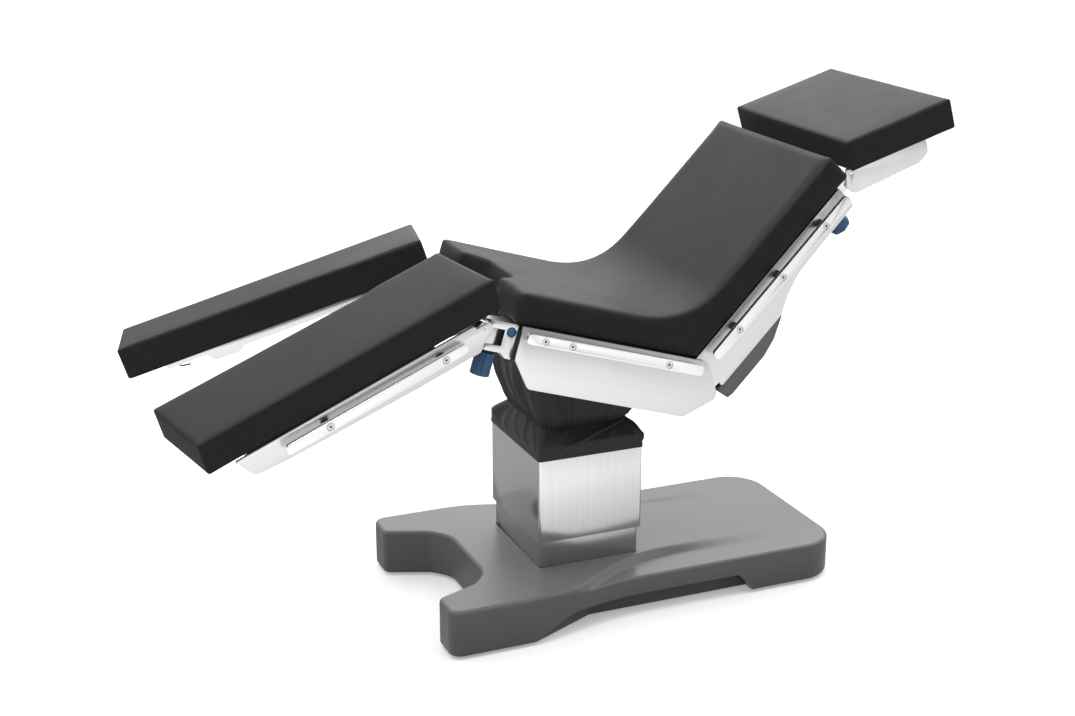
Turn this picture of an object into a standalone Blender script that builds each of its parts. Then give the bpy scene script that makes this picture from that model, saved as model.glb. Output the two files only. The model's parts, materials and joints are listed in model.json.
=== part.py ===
"""An operating table: a lifting column on a low base carries a tilting top in hinged sections.

Metres, +Z up, head end towards +X. The left side of the person who lies on it is at -Y.
Each section of the top is modelled level in its own frame and then turned to the pose it rests in.
"""
import math

import bmesh
import bpy
from mathutils import Matrix, Vector

# General
GAP = 0.0003  # between faces that lie on each other
RUNNING = 0.0005  # between a pin and its bore, all round
COLUMN_X = 0.0655  # column axis, from the middle of the overall length
SIDES = {"left": -1, "right": 1}

# Rest pose, in degrees
SEAT_TILT = 16.9  # head end of the seat down
BACK_RAISE = 62.6  # back section above the seat's plane
HEAD_DROP = 29.0  # head section below the back's plane
LEG_DROP = 34.5  # leg sections below the seat's plane
LEG_SPREAD = 13.7  # each leg section outwards
BACK_RAISE_LIMIT = 70.0

# Base
BASE_HEAD_X = 0.654
BASE_FOOT_X = -0.410
BASE_HEAD_HALF = 0.247
BASE_FORK_HALF = 0.297
FORK_ARM = 0.094  # width of a fork arm at its end
BASE_TOP = 0.121
BASE_HEAD_TOP = 0.1035
BASE_RAMP = (0.160, 0.470)  # where the top falls from the one height to the other
BASE_SHOULDER = 0.102
BASE_HEM = 0.006
FORK_ROOT_X = -0.262
FORK_INNER_HALF = BASE_FORK_HALF - FORK_ARM
RECESS_HALF = BASE_HEAD_HALF - 0.039
RECESS_TOP = 0.057
COVER_WALL = 0.010
CAVITY_TOP = 0.0905
CHASSIS_TOP = 0.090
CHASSIS_PLATE = 0.012
FOOT_PAD_RADIUS = 0.022
FOOT_PAD_HEIGHT = 0.012
FOOT_STEM_RADIUS = 0.010
FOOT_END_FEET = (BASE_FOOT_X + 0.060, BASE_FORK_HALF - 0.047)
HEAD_END_FEET = (BASE_HEAD_X - 0.064, BASE_HEAD_HALF - 0.087)
FOOT_END_CASTORS = (FORK_ROOT_X + 0.087, BASE_FORK_HALF - 0.172)
HEAD_END_CASTORS = (BASE_HEAD_X - 0.164, BASE_HEAD_HALF - 0.137)
CASTOR_RADIUS = 0.031
CASTOR_WIDTH = 0.022
CASTOR_LIFT = 0.004  # tread above the floor while the feet stand on it
CASTOR_TRAIL = 0.016
CASTOR_PLATE = 0.004
CASTOR_STEM_RADIUS = 0.008
AXLE_RADIUS = 0.004


def four_places(foot_end, head_end):
    """A place at each end and on each side of the base, by name."""
    places = {}
    for end, (x, y) in (("foot_end", foot_end), ("head_end", head_end)):
        for name, side in SIDES.items():
            places[f"{end}_{name}"] = (x, side * y)
    return places


FOOT_PLACES = four_places(FOOT_END_FEET, HEAD_END_FEET)
CASTOR_PLACES = four_places(FOOT_END_CASTORS, HEAD_END_CASTORS)

# Column
OUTER_SLEEVE = (0.1348, 0.1552)  # half width along X and along Y
MIDDLE_SLEEVE = (0.1318, 0.1510)
INNER_SLEEVE = (0.1290, 0.1470)
SLEEVE_WALL = 0.0015
SLEEVE_CORNER = 0.006
OUTER_BOTTOM = 0.189
OUTER_TOP = 0.430
MIDDLE_BOTTOM = 0.195
MIDDLE_TOP = 0.390
INNER_TOP = 0.353
OUTER_CAP = 0.006
MIDDLE_CAP = 0.004
GUIDE_RADIUS = 0.080
TUBE_WALL = 0.0095
TUBE_FIT = 0.0004  # between the tubes that slide in each other
STAGE_RADIUS = GUIDE_RADIUS - TUBE_WALL - TUBE_FIT
RAM_RADIUS = STAGE_RADIUS - TUBE_WALL - TUBE_FIT
RAM_BOTTOM = 0.155
STAGE_BOTTOM = 0.125

# Tilt head
TILT_Z = 0.500  # where the two tilt axes cross
TRUNNION_RADIUS = 0.018
CRADLE_HALF = (0.040, 0.0545, 0.034)
EAR_INNER = 0.060
EAR_OUTER = 0.085
EAR_HALF = 0.032
EAR_EYE = 0.030
YOKE_BASE = 0.010
LUG_INNER = 0.055
LUG_OUTER = 0.078
LUG_EYE = 0.026

# Gaiter
GAITER_WALL = 0.002
SKIRT_HEM_Z = 0.400
GATHER_Z = 0.462
GATHER_HALF = (0.113, 0.126)
BOOT_TOP_Z = 0.110  # in the seat's frame
BOOT_TOP_HALF = (0.138, 0.160)

# Top, in each section's own frame
PAD_HALF = 0.270
PAD_THICK = 0.072
PAD_ROUND = 0.010
DECK_THICK = 0.011
SIDE_OUTER = PAD_HALF + 0.005
SIDE_THICK = 0.006
BACK_SIDE_OUTER = PAD_HALF - 0.004
RAIL_OUTER = SIDE_OUTER + 0.023
RAIL_THICK = 0.010
RAIL_HEIGHT = 0.025
RAIL_DROP = 0.020  # rail's middle line below the pad's underside
RAIL_END_ROUND = 0.009
SPACER_RADIUS = 0.009

# Seat
SEAT_DECK_Z = 0.200  # underside of the pad above the tilt axes
SEAT_FOOT_X = -0.2935
SEAT_HEAD_X = 0.239
SEAT_SIDE_DEPTH = 0.141
SEAT_PAD_FOOT_X = -0.310
CUTOUT_DEPTH = 0.056
CUTOUT_HALF = 0.115
SEAT_RAIL = (-0.286, 0.172)
SEAT_SPACERS = (-0.242, -0.174, 0.079)
BEAM_OUTER = SIDE_OUTER - SIDE_THICK - 0.0005
BEAM_INNER = BEAM_OUTER - 0.0285
BEAM_BOTTOM = 0.120
BEAM_END_X = 0.138
CROSS_BEAM_Z = 0.150
CENTRE_BEAM_Z = 0.095

# Back
HINGE_X = 0.193
HINGE_DROP = 0.050  # hinge axis below the undersides of the seat and back pads
HINGE_RADIUS = 0.012
HINGE_EYE = 0.024
BACK_PAD_END = 0.5895
BACK_SIDE_END = 0.550
BACK_DECK = (0.030, 0.553)
BACK_RAIL = (0.060, 0.545)
BACK_SPACERS = (0.146, 0.304, 0.460)
BACK_SIDE_LOW = -0.0546
BACK_SIDE_HIGH = -0.0135
BACK_SIDE_HEEL = -0.037  # hinge end of the side plate's lower edge
BACK_BEAM_START = 0.050
BACK_BEAM_INNER = BEAM_INNER - 0.030
BACK_BEAM_OUTER = BEAM_INNER - 0.004
BACK_FRONT_BEAM = (0.060, 0.095)
BACK_REAR_BEAM = (0.400, 0.432)
BACK_BEAM_DEPTHS = (0.020, 0.014, 0.026)  # front, rear, and along the sides
GEAR_HOUSING = (
    (-0.030, -0.036, 0.016),
    (0.060, -0.040, 0.010),
    (0.175, -0.040, 0.012),
    (0.175, 0.016, 0.012),
    (0.050, 0.016, 0.012),
    (0.0, 0.034, 0.030),
    (-0.030, 0.030, 0.022),
)
GEAR_HOUSING_HALF = 0.055
DRIVE_COVER_HALF = BACK_SIDE_OUTER - 0.004
DRIVE_COVER_DEPTH = 0.040
DRIVE_COVER_WALL = 0.004
DRIVE_COVER_X = (0.0088, 0.0140, 0.030, 0.146, 0.192, 0.2445)  # corners from the hinge to the head

# Head
HEAD_X = 0.605
HEAD_Z = 0.034
HEAD_PAD_Z = 0.0097
HEAD_PAD_X = -0.0134
HEAD_PAD_LENGTH = 0.296
HEAD_PAD_HALF = PAD_HALF - 0.004
HEAD_SIDE_OUTER = PAD_HALF - 0.030
HEAD_SIDE_THICK = 0.005
HEAD_BAR_THICK = 0.011
HEAD_BAR_OUTER = HEAD_SIDE_OUTER - HEAD_SIDE_THICK - 0.0015
HEAD_TRAY_X = (0.022, 0.236)
HEAD_TRAY_THICK = 0.010
HEAD_SIDE_LOW = (
    (-0.020, -0.029, 0.012),
    (-0.004, -0.053, 0.014),
    (0.184, -0.046, 0.020),
    (0.213, -0.030, 0.016),
)
HEAD_BAR_START = 0.420
HEAD_BAR_Z = (0.010, 0.036)
HEAD_PIVOT_RADIUS = 0.0055
HEAD_EYE = 0.0088
SOCKET_X = (0.440, 0.540)
HEAD_KNOB_X = 0.501
HEAD_KNOB_RADIUS = 0.027
HEAD_KNOB_HEIGHT = 0.030
HEAD_KNOB_NECK = 0.020  # from the socket block down to the grip

# Legs
PIN_X = -0.3525
PIN_Y = PAD_HALF - 0.027
PIN_RADIUS = 0.008
ARM_HALF = 0.0175
ARM_TOP = 0.197
ARM_BOTTOM = 0.129
ARM_THICK = 0.015
WEB_X = (-0.3275, -0.2970)
WEB_BOTTOM = 0.118
BARREL_RADIUS = 0.0165
FOLD_OFFSET = 0.035
FOLD_Z = 0.179
FOLD_PIN_RADIUS = 0.006
FOLD_EYE = 0.013
BUTTON_RADIUS = 0.010
BUTTON_X = -0.311
BUTTON_Z = 0.179
BUTTON_TRAVEL = 0.003
SPREAD_KNOB_RADIUS = 0.0225
SPREAD_KNOB_HEIGHT = 0.060
LEG_PAD_START = -0.055
LEG_PAD_LENGTH = 0.742
LEG_PAD_THICK = 0.074
LEG_PAD_WIDTH = PAD_HALF - 0.045
LEG_PAD_TAPER = 0.012  # narrower at the foot than at the hinge
LEG_PAD_END_WIDTH = LEG_PAD_WIDTH - LEG_PAD_TAPER
LEG_PAD_Z = 0.025
LEG_DECK_THICK = 0.012
LEG_PLATE_END = 0.632
LEG_RAIL = (0.067, 0.531)
LEG_SPACERS = (0.127, 0.424)
LEG_INNER_END = 0.520

COLOURS = {
    "base_grey": ((0.16, 0.162, 0.165), 0.45, 0.0),
    "frame_steel": ((0.10, 0.10, 0.105), 0.5, 0.6),
    "stainless": ((0.62, 0.62, 0.61), 0.28, 1.0),
    "rail_steel": ((0.72, 0.72, 0.71), 0.22, 1.0),
    "cast_aluminium": ((0.55, 0.55, 0.54), 0.38, 1.0),
    "pad_black": ((0.022, 0.022, 0.023), 0.55, 0.0),
    "gaiter_black": ((0.015, 0.015, 0.016), 0.7, 0.0),
    "cover_grey": ((0.12, 0.122, 0.125), 0.5, 0.0),
    "grip_blue": ((0.03, 0.09, 0.20), 0.4, 0.0),
    "deck_board": ((0.20, 0.19, 0.18), 0.6, 0.0),
    "rubber": ((0.02, 0.02, 0.02), 0.8, 0.0),
}


def clear_scene():
    """Take out whatever the scene holds."""
    for item in list(bpy.data.objects):
        bpy.data.objects.remove(item, do_unlink=True)


def make_materials():
    """One Principled material for each finish."""
    made = {}
    for name, (colour, roughness, metallic) in COLOURS.items():
        material = bpy.data.materials.new(name)
        material.use_nodes = True
        shader = material.node_tree.nodes["Principled BSDF"]
        shader.inputs["Base Color"].default_value = (*colour, 1.0)
        shader.inputs["Roughness"].default_value = roughness
        shader.inputs["Metallic"].default_value = metallic
        material.diffuse_color = (*colour, 1.0)
        made[name] = material
    return made


clear_scene()
MATERIALS = make_materials()
PARTS = bpy.data.collections.new("operating_table")
CUTTERS = bpy.data.collections.new("cutters")
bpy.context.scene.collection.children.link(PARTS)
bpy.context.scene.collection.children.link(CUTTERS)


def frame(name, parent=None, place=(0, 0, 0), turn=(0, 0, 0)):
    """An empty that carries the pieces of one section."""
    empty = bpy.data.objects.new(name, None)
    empty.empty_display_size = 0.05
    empty.location = place
    empty.rotation_euler = [math.radians(angle) for angle in turn]
    empty.parent = parent
    PARTS.objects.link(empty)
    return empty


def piece(name, mesh, finish, parent, place=(0, 0, 0), turn=(0, 0, 0)):
    """A solid of the table, with its finish, placed in its section."""
    solid = bpy.data.objects.new(name, mesh)
    solid.location = place
    solid.rotation_euler = [math.radians(angle) for angle in turn]
    solid.parent = parent
    mesh.materials.append(MATERIALS[finish])
    PARTS.objects.link(solid)
    return solid


def tool(name, mesh, parent, place=(0, 0, 0), turn=(0, 0, 0)):
    """A solid that cuts or joins another one and isn't a piece itself."""
    cutter = bpy.data.objects.new(name, mesh)
    cutter.location = place
    cutter.rotation_euler = [math.radians(angle) for angle in turn]
    cutter.parent = parent
    cutter.hide_render = True
    cutter.display_type = "WIRE"
    CUTTERS.objects.link(cutter)
    return cutter


def combine(solid, operation, *others):
    """Cut the other solids from this one, or join them to it."""
    for other in others:
        modifier = solid.modifiers.new(other.name, "BOOLEAN")
        modifier.operation = operation
        modifier.solver = "EXACT"
        modifier.object = other
    return solid


def soften(solid, width, segments=2, angle=35):
    """Round the edges that are sharper than the angle."""
    modifier = solid.modifiers.new("rounded_edges", "BEVEL")
    modifier.width = width
    modifier.segments = segments
    modifier.limit_method = "ANGLE"
    modifier.angle_limit = math.radians(angle)
    return solid


def from_bmesh(bm):
    """Turn a bmesh into a mesh with its faces pointing out."""
    bmesh.ops.recalc_face_normals(bm, faces=bm.faces)
    mesh = bpy.data.meshes.new("mesh")
    bm.to_mesh(mesh)
    bm.free()
    return mesh


def box(low, high):
    """A box between two corners."""
    bm = bmesh.new()
    size = [h - l for l, h in zip(low, high)]
    middle = [(h + l) / 2 for l, h in zip(low, high)]
    matrix = Matrix.Translation(middle) @ Matrix.Diagonal((*size, 1))
    bmesh.ops.create_cube(bm, size=1, matrix=matrix)
    return from_bmesh(bm)


def cylinder(radius, low, high, sides=16, axis="Z"):
    """A cylinder between two heights on its axis."""
    bm = bmesh.new()
    turned = {
        "Z": Matrix.Identity(4),
        "X": Matrix.Rotation(math.radians(90), 4, "Y"),
        "Y": Matrix.Rotation(math.radians(-90), 4, "X"),
    }[axis]
    matrix = turned @ Matrix.Translation((0, 0, (low + high) / 2))
    bmesh.ops.create_cone(
        bm, cap_ends=True, segments=sides, radius1=radius, radius2=radius, depth=high - low, matrix=matrix
    )
    mesh = from_bmesh(bm)
    round_off(mesh)
    return mesh


def round_off(mesh, angle=35):
    """Shade a round piece smooth, with its sharp edges kept."""
    mesh.shade_smooth()
    mesh.set_sharp_from_angle(angle=math.radians(angle))


def rounded(corners, step=24):
    """The points of an outline whose corners (x, y, radius) are arcs."""
    points = []
    count = len(corners)
    for i, (x, y, radius) in enumerate(corners):
        here = Vector((x, y))
        before = Vector(corners[i - 1][:2]) - here
        after = Vector(corners[(i + 1) % count][:2]) - here
        opening = before.angle(after)
        turn = math.pi - opening
        if radius <= 0 or turn < 0.01:
            points.append((x, y))
            continue
        reach = radius / math.tan(opening / 2)
        reach = min(reach, 0.49 * before.length, 0.49 * after.length)
        radius = reach * math.tan(opening / 2)
        first = here + before.normalized() * reach
        middle = here + (before.normalized() + after.normalized()).normalized() * radius / math.sin(opening / 2)
        start = first - middle
        sign = 1 if before.cross(after) < 0 else -1
        arcs = max(1, math.ceil(math.degrees(turn) / step))
        for k in range(arcs + 1):
            angle = sign * turn * k / arcs
            arm = Matrix.Rotation(angle, 2) @ start
            points.append(tuple(middle + arm))
    return points


def disc(radius, sides=16, middle=(0, 0), start=0.0, sweep=360.0):
    """Points round an arc, for an outline or for a hole in it."""
    closed = abs(sweep) >= 360
    count = sides if closed else sides + 1
    points = []
    for k in range(count):
        angle = math.radians(start + sweep * k / sides)
        points.append((middle[0] + radius * math.cos(angle), middle[1] + radius * math.sin(angle)))
    return points


def mesh_of(curve):
    """The closed mesh of a curve, with its caps welded."""
    holder = bpy.data.objects.new("outline", curve)
    bpy.context.scene.collection.objects.link(holder)
    graph = bpy.context.evaluated_depsgraph_get()
    mesh = bpy.data.meshes.new_from_object(holder.evaluated_get(graph))
    bpy.data.objects.remove(holder, do_unlink=True)
    bpy.data.curves.remove(curve)
    bm = bmesh.new()
    bm.from_mesh(mesh)
    bmesh.ops.remove_doubles(bm, verts=bm.verts, dist=0.00001)
    bpy.data.meshes.remove(mesh)
    return from_bmesh(bm)


def plate(loops, thickness, middle=0.0):
    """A flat outline, with holes where it has more loops, given its thickness along Z."""
    curve = bpy.data.curves.new("outline", "CURVE")
    curve.dimensions = "2D"
    curve.fill_mode = "BOTH"
    curve.extrude = thickness / 2
    for points in loops:
        spline = curve.splines.new("POLY")
        spline.points.add(len(points) - 1)
        for point, (x, y) in zip(spline.points, points):
            point.co = (x, y, 0, 1)
        spline.use_cyclic_u = True
    mesh = mesh_of(curve)
    mesh.transform(Matrix.Translation((0, 0, middle)))
    return mesh


def standing(points, inner, outer, side=1, holes=()):
    """A plate that stands along X and Z, between two distances from the middle plane."""
    mesh = plate([points, *holes], outer - inner)
    mesh.transform(Matrix.Rotation(math.radians(90), 4, "X"))
    mesh.transform(Matrix.Translation((0, side * (inner + outer) / 2, 0)))
    return mesh


def cut_off(mesh, point, normal):
    """Take away what lies past a plane, on the side its normal points to, and close the cut."""
    bm = bmesh.new()
    bm.from_mesh(mesh)
    every = bm.verts[:] + bm.edges[:] + bm.faces[:]
    cut = bmesh.ops.bisect_plane(bm, geom=every, plane_co=point, plane_no=normal, clear_outer=True)
    edges = [item for item in cut["geom_cut"] if isinstance(item, bmesh.types.BMEdge)]
    bmesh.ops.triangle_fill(bm, edges=edges, use_beauty=True)
    bmesh.ops.dissolve_limit(bm, angle_limit=0.001, verts=bm.verts, edges=bm.edges)
    bmesh.ops.recalc_face_normals(bm, faces=bm.faces)
    bm.to_mesh(mesh)
    bm.free()
    return mesh


def flatten(mesh):
    """Join faces that lie in one plane, so that a bevel meets only real edges."""
    bm = bmesh.new()
    bm.from_mesh(mesh)
    bmesh.ops.dissolve_limit(bm, angle_limit=0.001, verts=bm.verts, edges=bm.edges)
    bm.to_mesh(mesh)
    bm.free()
    return mesh


def turned(profile, sides=16):
    """A turned shape: a profile of (radius, height) from top to bottom, with a Screw modifier's turn."""
    bm = bmesh.new()
    verts = [bm.verts.new((radius, 0, height)) for radius, height in profile]
    for a, b in zip(verts, verts[1:]):
        bm.edges.new((a, b))
    return from_profile(bm, sides)


def from_profile(bm, sides):
    """Sweep the profile's edges round Z and weld the ends."""
    bmesh.ops.spin(
        bm,
        geom=bm.verts[:] + bm.edges[:],
        cent=(0, 0, 0),
        axis=(0, 0, 1),
        angle=math.radians(360),
        steps=sides,
        use_merge=True,
    )
    bmesh.ops.remove_doubles(bm, verts=bm.verts, dist=0.00001)
    mesh = from_bmesh(bm)
    round_off(mesh)
    return mesh


def lobed(radius, depth, lobes, fine=4):
    """The outline of a grip with shallow flutes."""
    points = []
    for k in range(lobes * fine):
        angle = 2 * math.pi * k / (lobes * fine)
        reach = radius - depth * (0.5 - 0.5 * math.cos(lobes * angle))
        points.append((reach * math.cos(angle), reach * math.sin(angle)))
    return points


def mirrored(half):
    """An outline from its half at +Y, listed from the head end to the foot end."""
    return half + [(x, -y, radius) for x, y, radius in reversed(half)]


def rail(name, span, height, spacers, wall, outer, parent, out):
    """A side rail with the round spacers that hold it off its side plate; out is +1 or -1."""
    low = height - RAIL_HEIGHT / 2
    high = height + RAIL_HEIGHT / 2
    ends = RAIL_END_ROUND
    outline = rounded([(span[0], low, ends), (span[1], low, ends), (span[1], high, ends), (span[0], high, ends)], 30)
    inner = outer - RAIL_THICK
    bar = piece(name, standing(outline, inner, outer, out), "rail_steel", parent)
    for number, x in enumerate(spacers):
        reach = sorted((out * (wall + GAP), out * (inner + RAIL_THICK / 2)))
        spacer = cylinder(SPACER_RADIUS, reach[0], reach[1], 10, "Y")
        combine(bar, "UNION", tool(f"{name}_spacer_{number}", spacer, parent, (x, 0, height)))
    return bar


# Sections of the table, each an empty on its own axis
table = frame("table", None, (COLUMN_X, 0, 0))
stage = frame("stage", table)
lift = frame("lift", table)
cradle = frame("cradle", lift, (0, 0, TILT_Z), (0, SEAT_TILT, 0))
seat = frame("seat", cradle)
back = frame("back", seat, (HINGE_X, 0, SEAT_DECK_Z - HINGE_DROP), (0, -BACK_RAISE, 0))
head = frame("head", back, (HEAD_X, 0, HEAD_Z), (0, HEAD_DROP, 0))


def base_outline(inset):
    """The base in plan: a broad fork at the foot end and a narrower tongue towards the head."""
    half = [
        (BASE_HEAD_X - inset, BASE_HEAD_HALF - inset, 0.095),
        (0.030, BASE_HEAD_HALF - inset, 0.50),
        (-0.170, BASE_FORK_HALF - inset, 0.50),
        (BASE_FOOT_X + inset, BASE_FORK_HALF - inset, 0.030),
        (BASE_FOOT_X + inset, FORK_INNER_HALF + inset, 0.020),
        (-0.300, 0.158 + inset, 0.06),
        (FORK_ROOT_X + inset, 0.110, 0.07),
    ]
    return rounded(mirrored(half))


def cavity_outline(inset):
    """The open space inside the base cover, clear of the side recesses."""
    wall = COVER_WALL + inset
    half = [
        (BASE_HEAD_X - wall - 0.012, RECESS_HALF - wall, 0.06),
        (-0.045, RECESS_HALF - wall, 0.0),
        (-0.240, BASE_FORK_HALF - wall, 0.0),
        (BASE_FOOT_X + wall, BASE_FORK_HALF - wall, 0.0),
        (BASE_FOOT_X + wall, FORK_INNER_HALF + wall + 0.006, 0.0),
        (-0.290, 0.160 + wall + 0.004, 0.0),
        (FORK_ROOT_X + wall + 0.004, 0.100, 0.0),
    ]
    return rounded(mirrored(half))


def make_base_cover():
    """A moulded shell: level over the fork and round the column, sloping to the head end."""
    block = plate([base_outline(0.0)], BASE_TOP - BASE_HEM, (BASE_TOP + BASE_HEM) / 2)
    cover = piece("base_cover", block, "base_grey", table)
    beyond = BASE_HEAD_X + 0.05
    wide = BASE_FORK_HALF + 0.05
    above = BASE_TOP + 0.05
    ramp = [
        (BASE_RAMP[0], BASE_TOP),
        (BASE_RAMP[1], BASE_HEAD_TOP),
        (beyond, BASE_HEAD_TOP),
        (beyond, above),
        (BASE_RAMP[0], above),
    ]
    combine(cover, "DIFFERENCE", tool("base_ramp", standing(ramp, -wide, wide), table))
    for name, side in SIDES.items():
        shoulder = [
            (-0.190, BASE_FORK_HALF + 0.013, 0.0),
            (-0.095, BASE_FORK_HALF - 0.025, 0.12),
            (0.080, BASE_HEAD_HALF - 0.067, 0.20),
            (0.300, BASE_HEAD_HALF - 0.090, 0.30),
            (beyond, BASE_HEAD_HALF - 0.104, 0.0),
            (beyond, wide, 0.0),
            (-0.190, wide, 0.0),
        ]
        outline = [(x, side * y) for x, y in rounded(shoulder)]
        step = plate([outline], 0.1, BASE_SHOULDER + 0.05)
        combine(cover, "DIFFERENCE", tool(f"base_shoulder_{name}", step, table))
    soften(cover, 0.009, 3)
    for name, side in SIDES.items():
        arch = [
            (-0.290, -0.030, 0.0),
            (-0.215, 0.004, 0.03),
            (-0.105, RECESS_TOP, 0.12),
            (0.362, RECESS_TOP, 0.020),
            (0.396, 0.020, 0.0),
            (0.424, -0.030, 0.0),
        ]
        recess = standing(rounded(arch), RECESS_HALF, 0.40, side)
        slant = Vector((-(BASE_FORK_HALF - RECESS_HALF), -side * 0.188, 0))
        recess = cut_off(recess, (-0.027, side * RECESS_HALF, 0), slant)
        combine(cover, "DIFFERENCE", tool(f"base_recess_{name}", recess, table))
    cavity = plate([cavity_outline(0.0)], CAVITY_TOP + 0.05, (CAVITY_TOP - 0.05) / 2)
    combine(cover, "DIFFERENCE", tool("base_cavity", cavity, table))
    well = box((-INNER_SLEEVE[0] - 0.002, -INNER_SLEEVE[1] - 0.002, 0.05), (INNER_SLEEVE[0] + 0.002, INNER_SLEEVE[1] + 0.002, 0.2))
    combine(cover, "DIFFERENCE", tool("column_well", well, table))


def make_chassis():
    """The steel plate that carries the column, the feet and the castors."""
    holes = []
    for x, y in FOOT_PLACES.values():
        holes.append(disc(FOOT_STEM_RADIUS + RUNNING, 14, (x, y)))
    for x, y in CASTOR_PLACES.values():
        holes.append(disc(CASTOR_STEM_RADIUS + RUNNING, 12, (x, y)))
    middle = CHASSIS_TOP - CHASSIS_PLATE / 2
    piece("base_chassis", plate([cavity_outline(0.003), *holes], CHASSIS_PLATE, middle), "frame_steel", table)


def make_feet():
    """Jack feet: a rubber pad on a stem that passes through the chassis."""
    top = CHASSIS_TOP - 0.001
    for name, (x, y) in FOOT_PLACES.items():
        profile = [
            (0.0, top),
            (FOOT_STEM_RADIUS, top),
            (FOOT_STEM_RADIUS, FOOT_PAD_HEIGHT + 0.006),
            (FOOT_PAD_RADIUS * 0.8, FOOT_PAD_HEIGHT),
            (FOOT_PAD_RADIUS, FOOT_PAD_HEIGHT * 0.6),
            (FOOT_PAD_RADIUS, 0.0),
            (0.0, 0.0),
        ]
        piece(f"jack_pad_{name}", turned(profile, 14), "rubber", table, (x, y, 0))


def make_castors():
    """Swivelling castors under the chassis, clear of the floor while the feet stand."""
    axle_z = CASTOR_LIFT + CASTOR_RADIUS
    under = CHASSIS_TOP - CHASSIS_PLATE - GAP
    half = CASTOR_WIDTH / 2 + 0.001
    for name, (x, y) in CASTOR_PLACES.items():
        swivel = frame(f"castor_{name}", table, (x, y, 0))
        crown = cylinder(0.018, under - CASTOR_PLATE, under, 14)
        fork = piece(f"castor_fork_{name}", crown, "frame_steel", swivel)
        stem = cylinder(CASTOR_STEM_RADIUS, under - CASTOR_PLATE / 2, CHASSIS_TOP - 0.001, 12)
        combine(fork, "UNION", tool(f"castor_stem_{name}", stem, swivel))
        cheek_outline = rounded(
            [
                (-CASTOR_TRAIL - 0.007, axle_z - 0.008, 0.006),
                (-CASTOR_TRAIL + 0.007, axle_z - 0.008, 0.006),
                (0.012, under - CASTOR_PLATE / 2, 0.0),
                (-0.012, under - CASTOR_PLATE / 2, 0.0),
            ],
            50,
        )
        hole = disc(AXLE_RADIUS + RUNNING, 10, (-CASTOR_TRAIL, axle_z))
        for cheek, out in SIDES.items():
            mesh = standing(cheek_outline, half, half + 0.003, out, [hole])
            combine(fork, "UNION", tool(f"castor_cheek_{name}_{cheek}", mesh, swivel))
        wheel = frame(f"castor_axle_{name}", swivel, (-CASTOR_TRAIL, 0, axle_z))
        width = CASTOR_WIDTH / 2
        profile = [
            (0.0, half + 0.003),
            (AXLE_RADIUS, half + 0.003),
            (AXLE_RADIUS, width),
            (CASTOR_RADIUS * 0.9, width),
            (CASTOR_RADIUS, width * 0.6),
            (CASTOR_RADIUS, -width * 0.6),
            (CASTOR_RADIUS * 0.9, -width),
            (AXLE_RADIUS, -width),
            (AXLE_RADIUS, -half - 0.003),
            (0.0, -half - 0.003),
        ]
        piece(f"castor_wheel_{name}", turned(profile, 12), "rubber", wheel, turn=(90, 0, 0))


def sleeve(half, wall, low, high, cap=0.0, hole=0.0):
    """A thin rectangular sleeve, closed at the top by a cap where it has one."""
    outer = ring_points(half, SLEEVE_CORNER)
    inner = ring_points((half[0] - wall, half[1] - wall), SLEEVE_CORNER)
    if not cap:
        return plate([outer, inner], high - low, (high + low) / 2), None
    block = plate([outer], high - low, (high + low) / 2)
    hollow = plate([inner], high - cap - low + 0.05, (high - cap + low - 0.05) / 2)
    return block, hollow


def make_column():
    """Three nested sleeves round a telescopic guide."""
    floor = CHASSIS_TOP + GAP
    tube, _ = sleeve(INNER_SLEEVE, SLEEVE_WALL, floor, INNER_TOP)
    piece("column_inner_sleeve", tube, "stainless", table)
    guide = plate([disc(GUIDE_RADIUS, 20), disc(GUIDE_RADIUS - TUBE_WALL, 20)], INNER_TOP - floor, (INNER_TOP + floor) / 2)
    round_off(guide)
    piece("column_guide", guide, "frame_steel", table)

    block, hollow = sleeve(MIDDLE_SLEEVE, SLEEVE_WALL, MIDDLE_BOTTOM, MIDDLE_TOP, MIDDLE_CAP)
    middle = piece("column_middle_sleeve", block, "stainless", stage)
    port = cylinder(RAM_RADIUS + RUNNING, MIDDLE_TOP - 0.05, MIDDLE_TOP + 0.05, 20)
    combine(middle, "DIFFERENCE", tool("middle_hollow", hollow, stage), tool("middle_port", port, stage))
    top = MIDDLE_TOP - MIDDLE_CAP - GAP
    tube = plate([disc(STAGE_RADIUS, 20), disc(STAGE_RADIUS - TUBE_WALL, 20)], top - STAGE_BOTTOM, (top + STAGE_BOTTOM) / 2)
    round_off(tube)
    piece("column_stage_tube", tube, "frame_steel", stage)

    block, hollow = sleeve(OUTER_SLEEVE, SLEEVE_WALL, OUTER_BOTTOM, OUTER_TOP, OUTER_CAP)
    outer = piece("column_outer_sleeve", block, "stainless", lift)
    combine(outer, "DIFFERENCE", tool("outer_hollow", hollow, lift))
    top = OUTER_TOP - OUTER_CAP - GAP
    tube = plate([disc(RAM_RADIUS, 20), disc(RAM_RADIUS - TUBE_WALL, 20)], top - RAM_BOTTOM, (top + RAM_BOTTOM) / 2)
    round_off(tube)
    piece("column_ram", tube, "frame_steel", lift)


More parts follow.
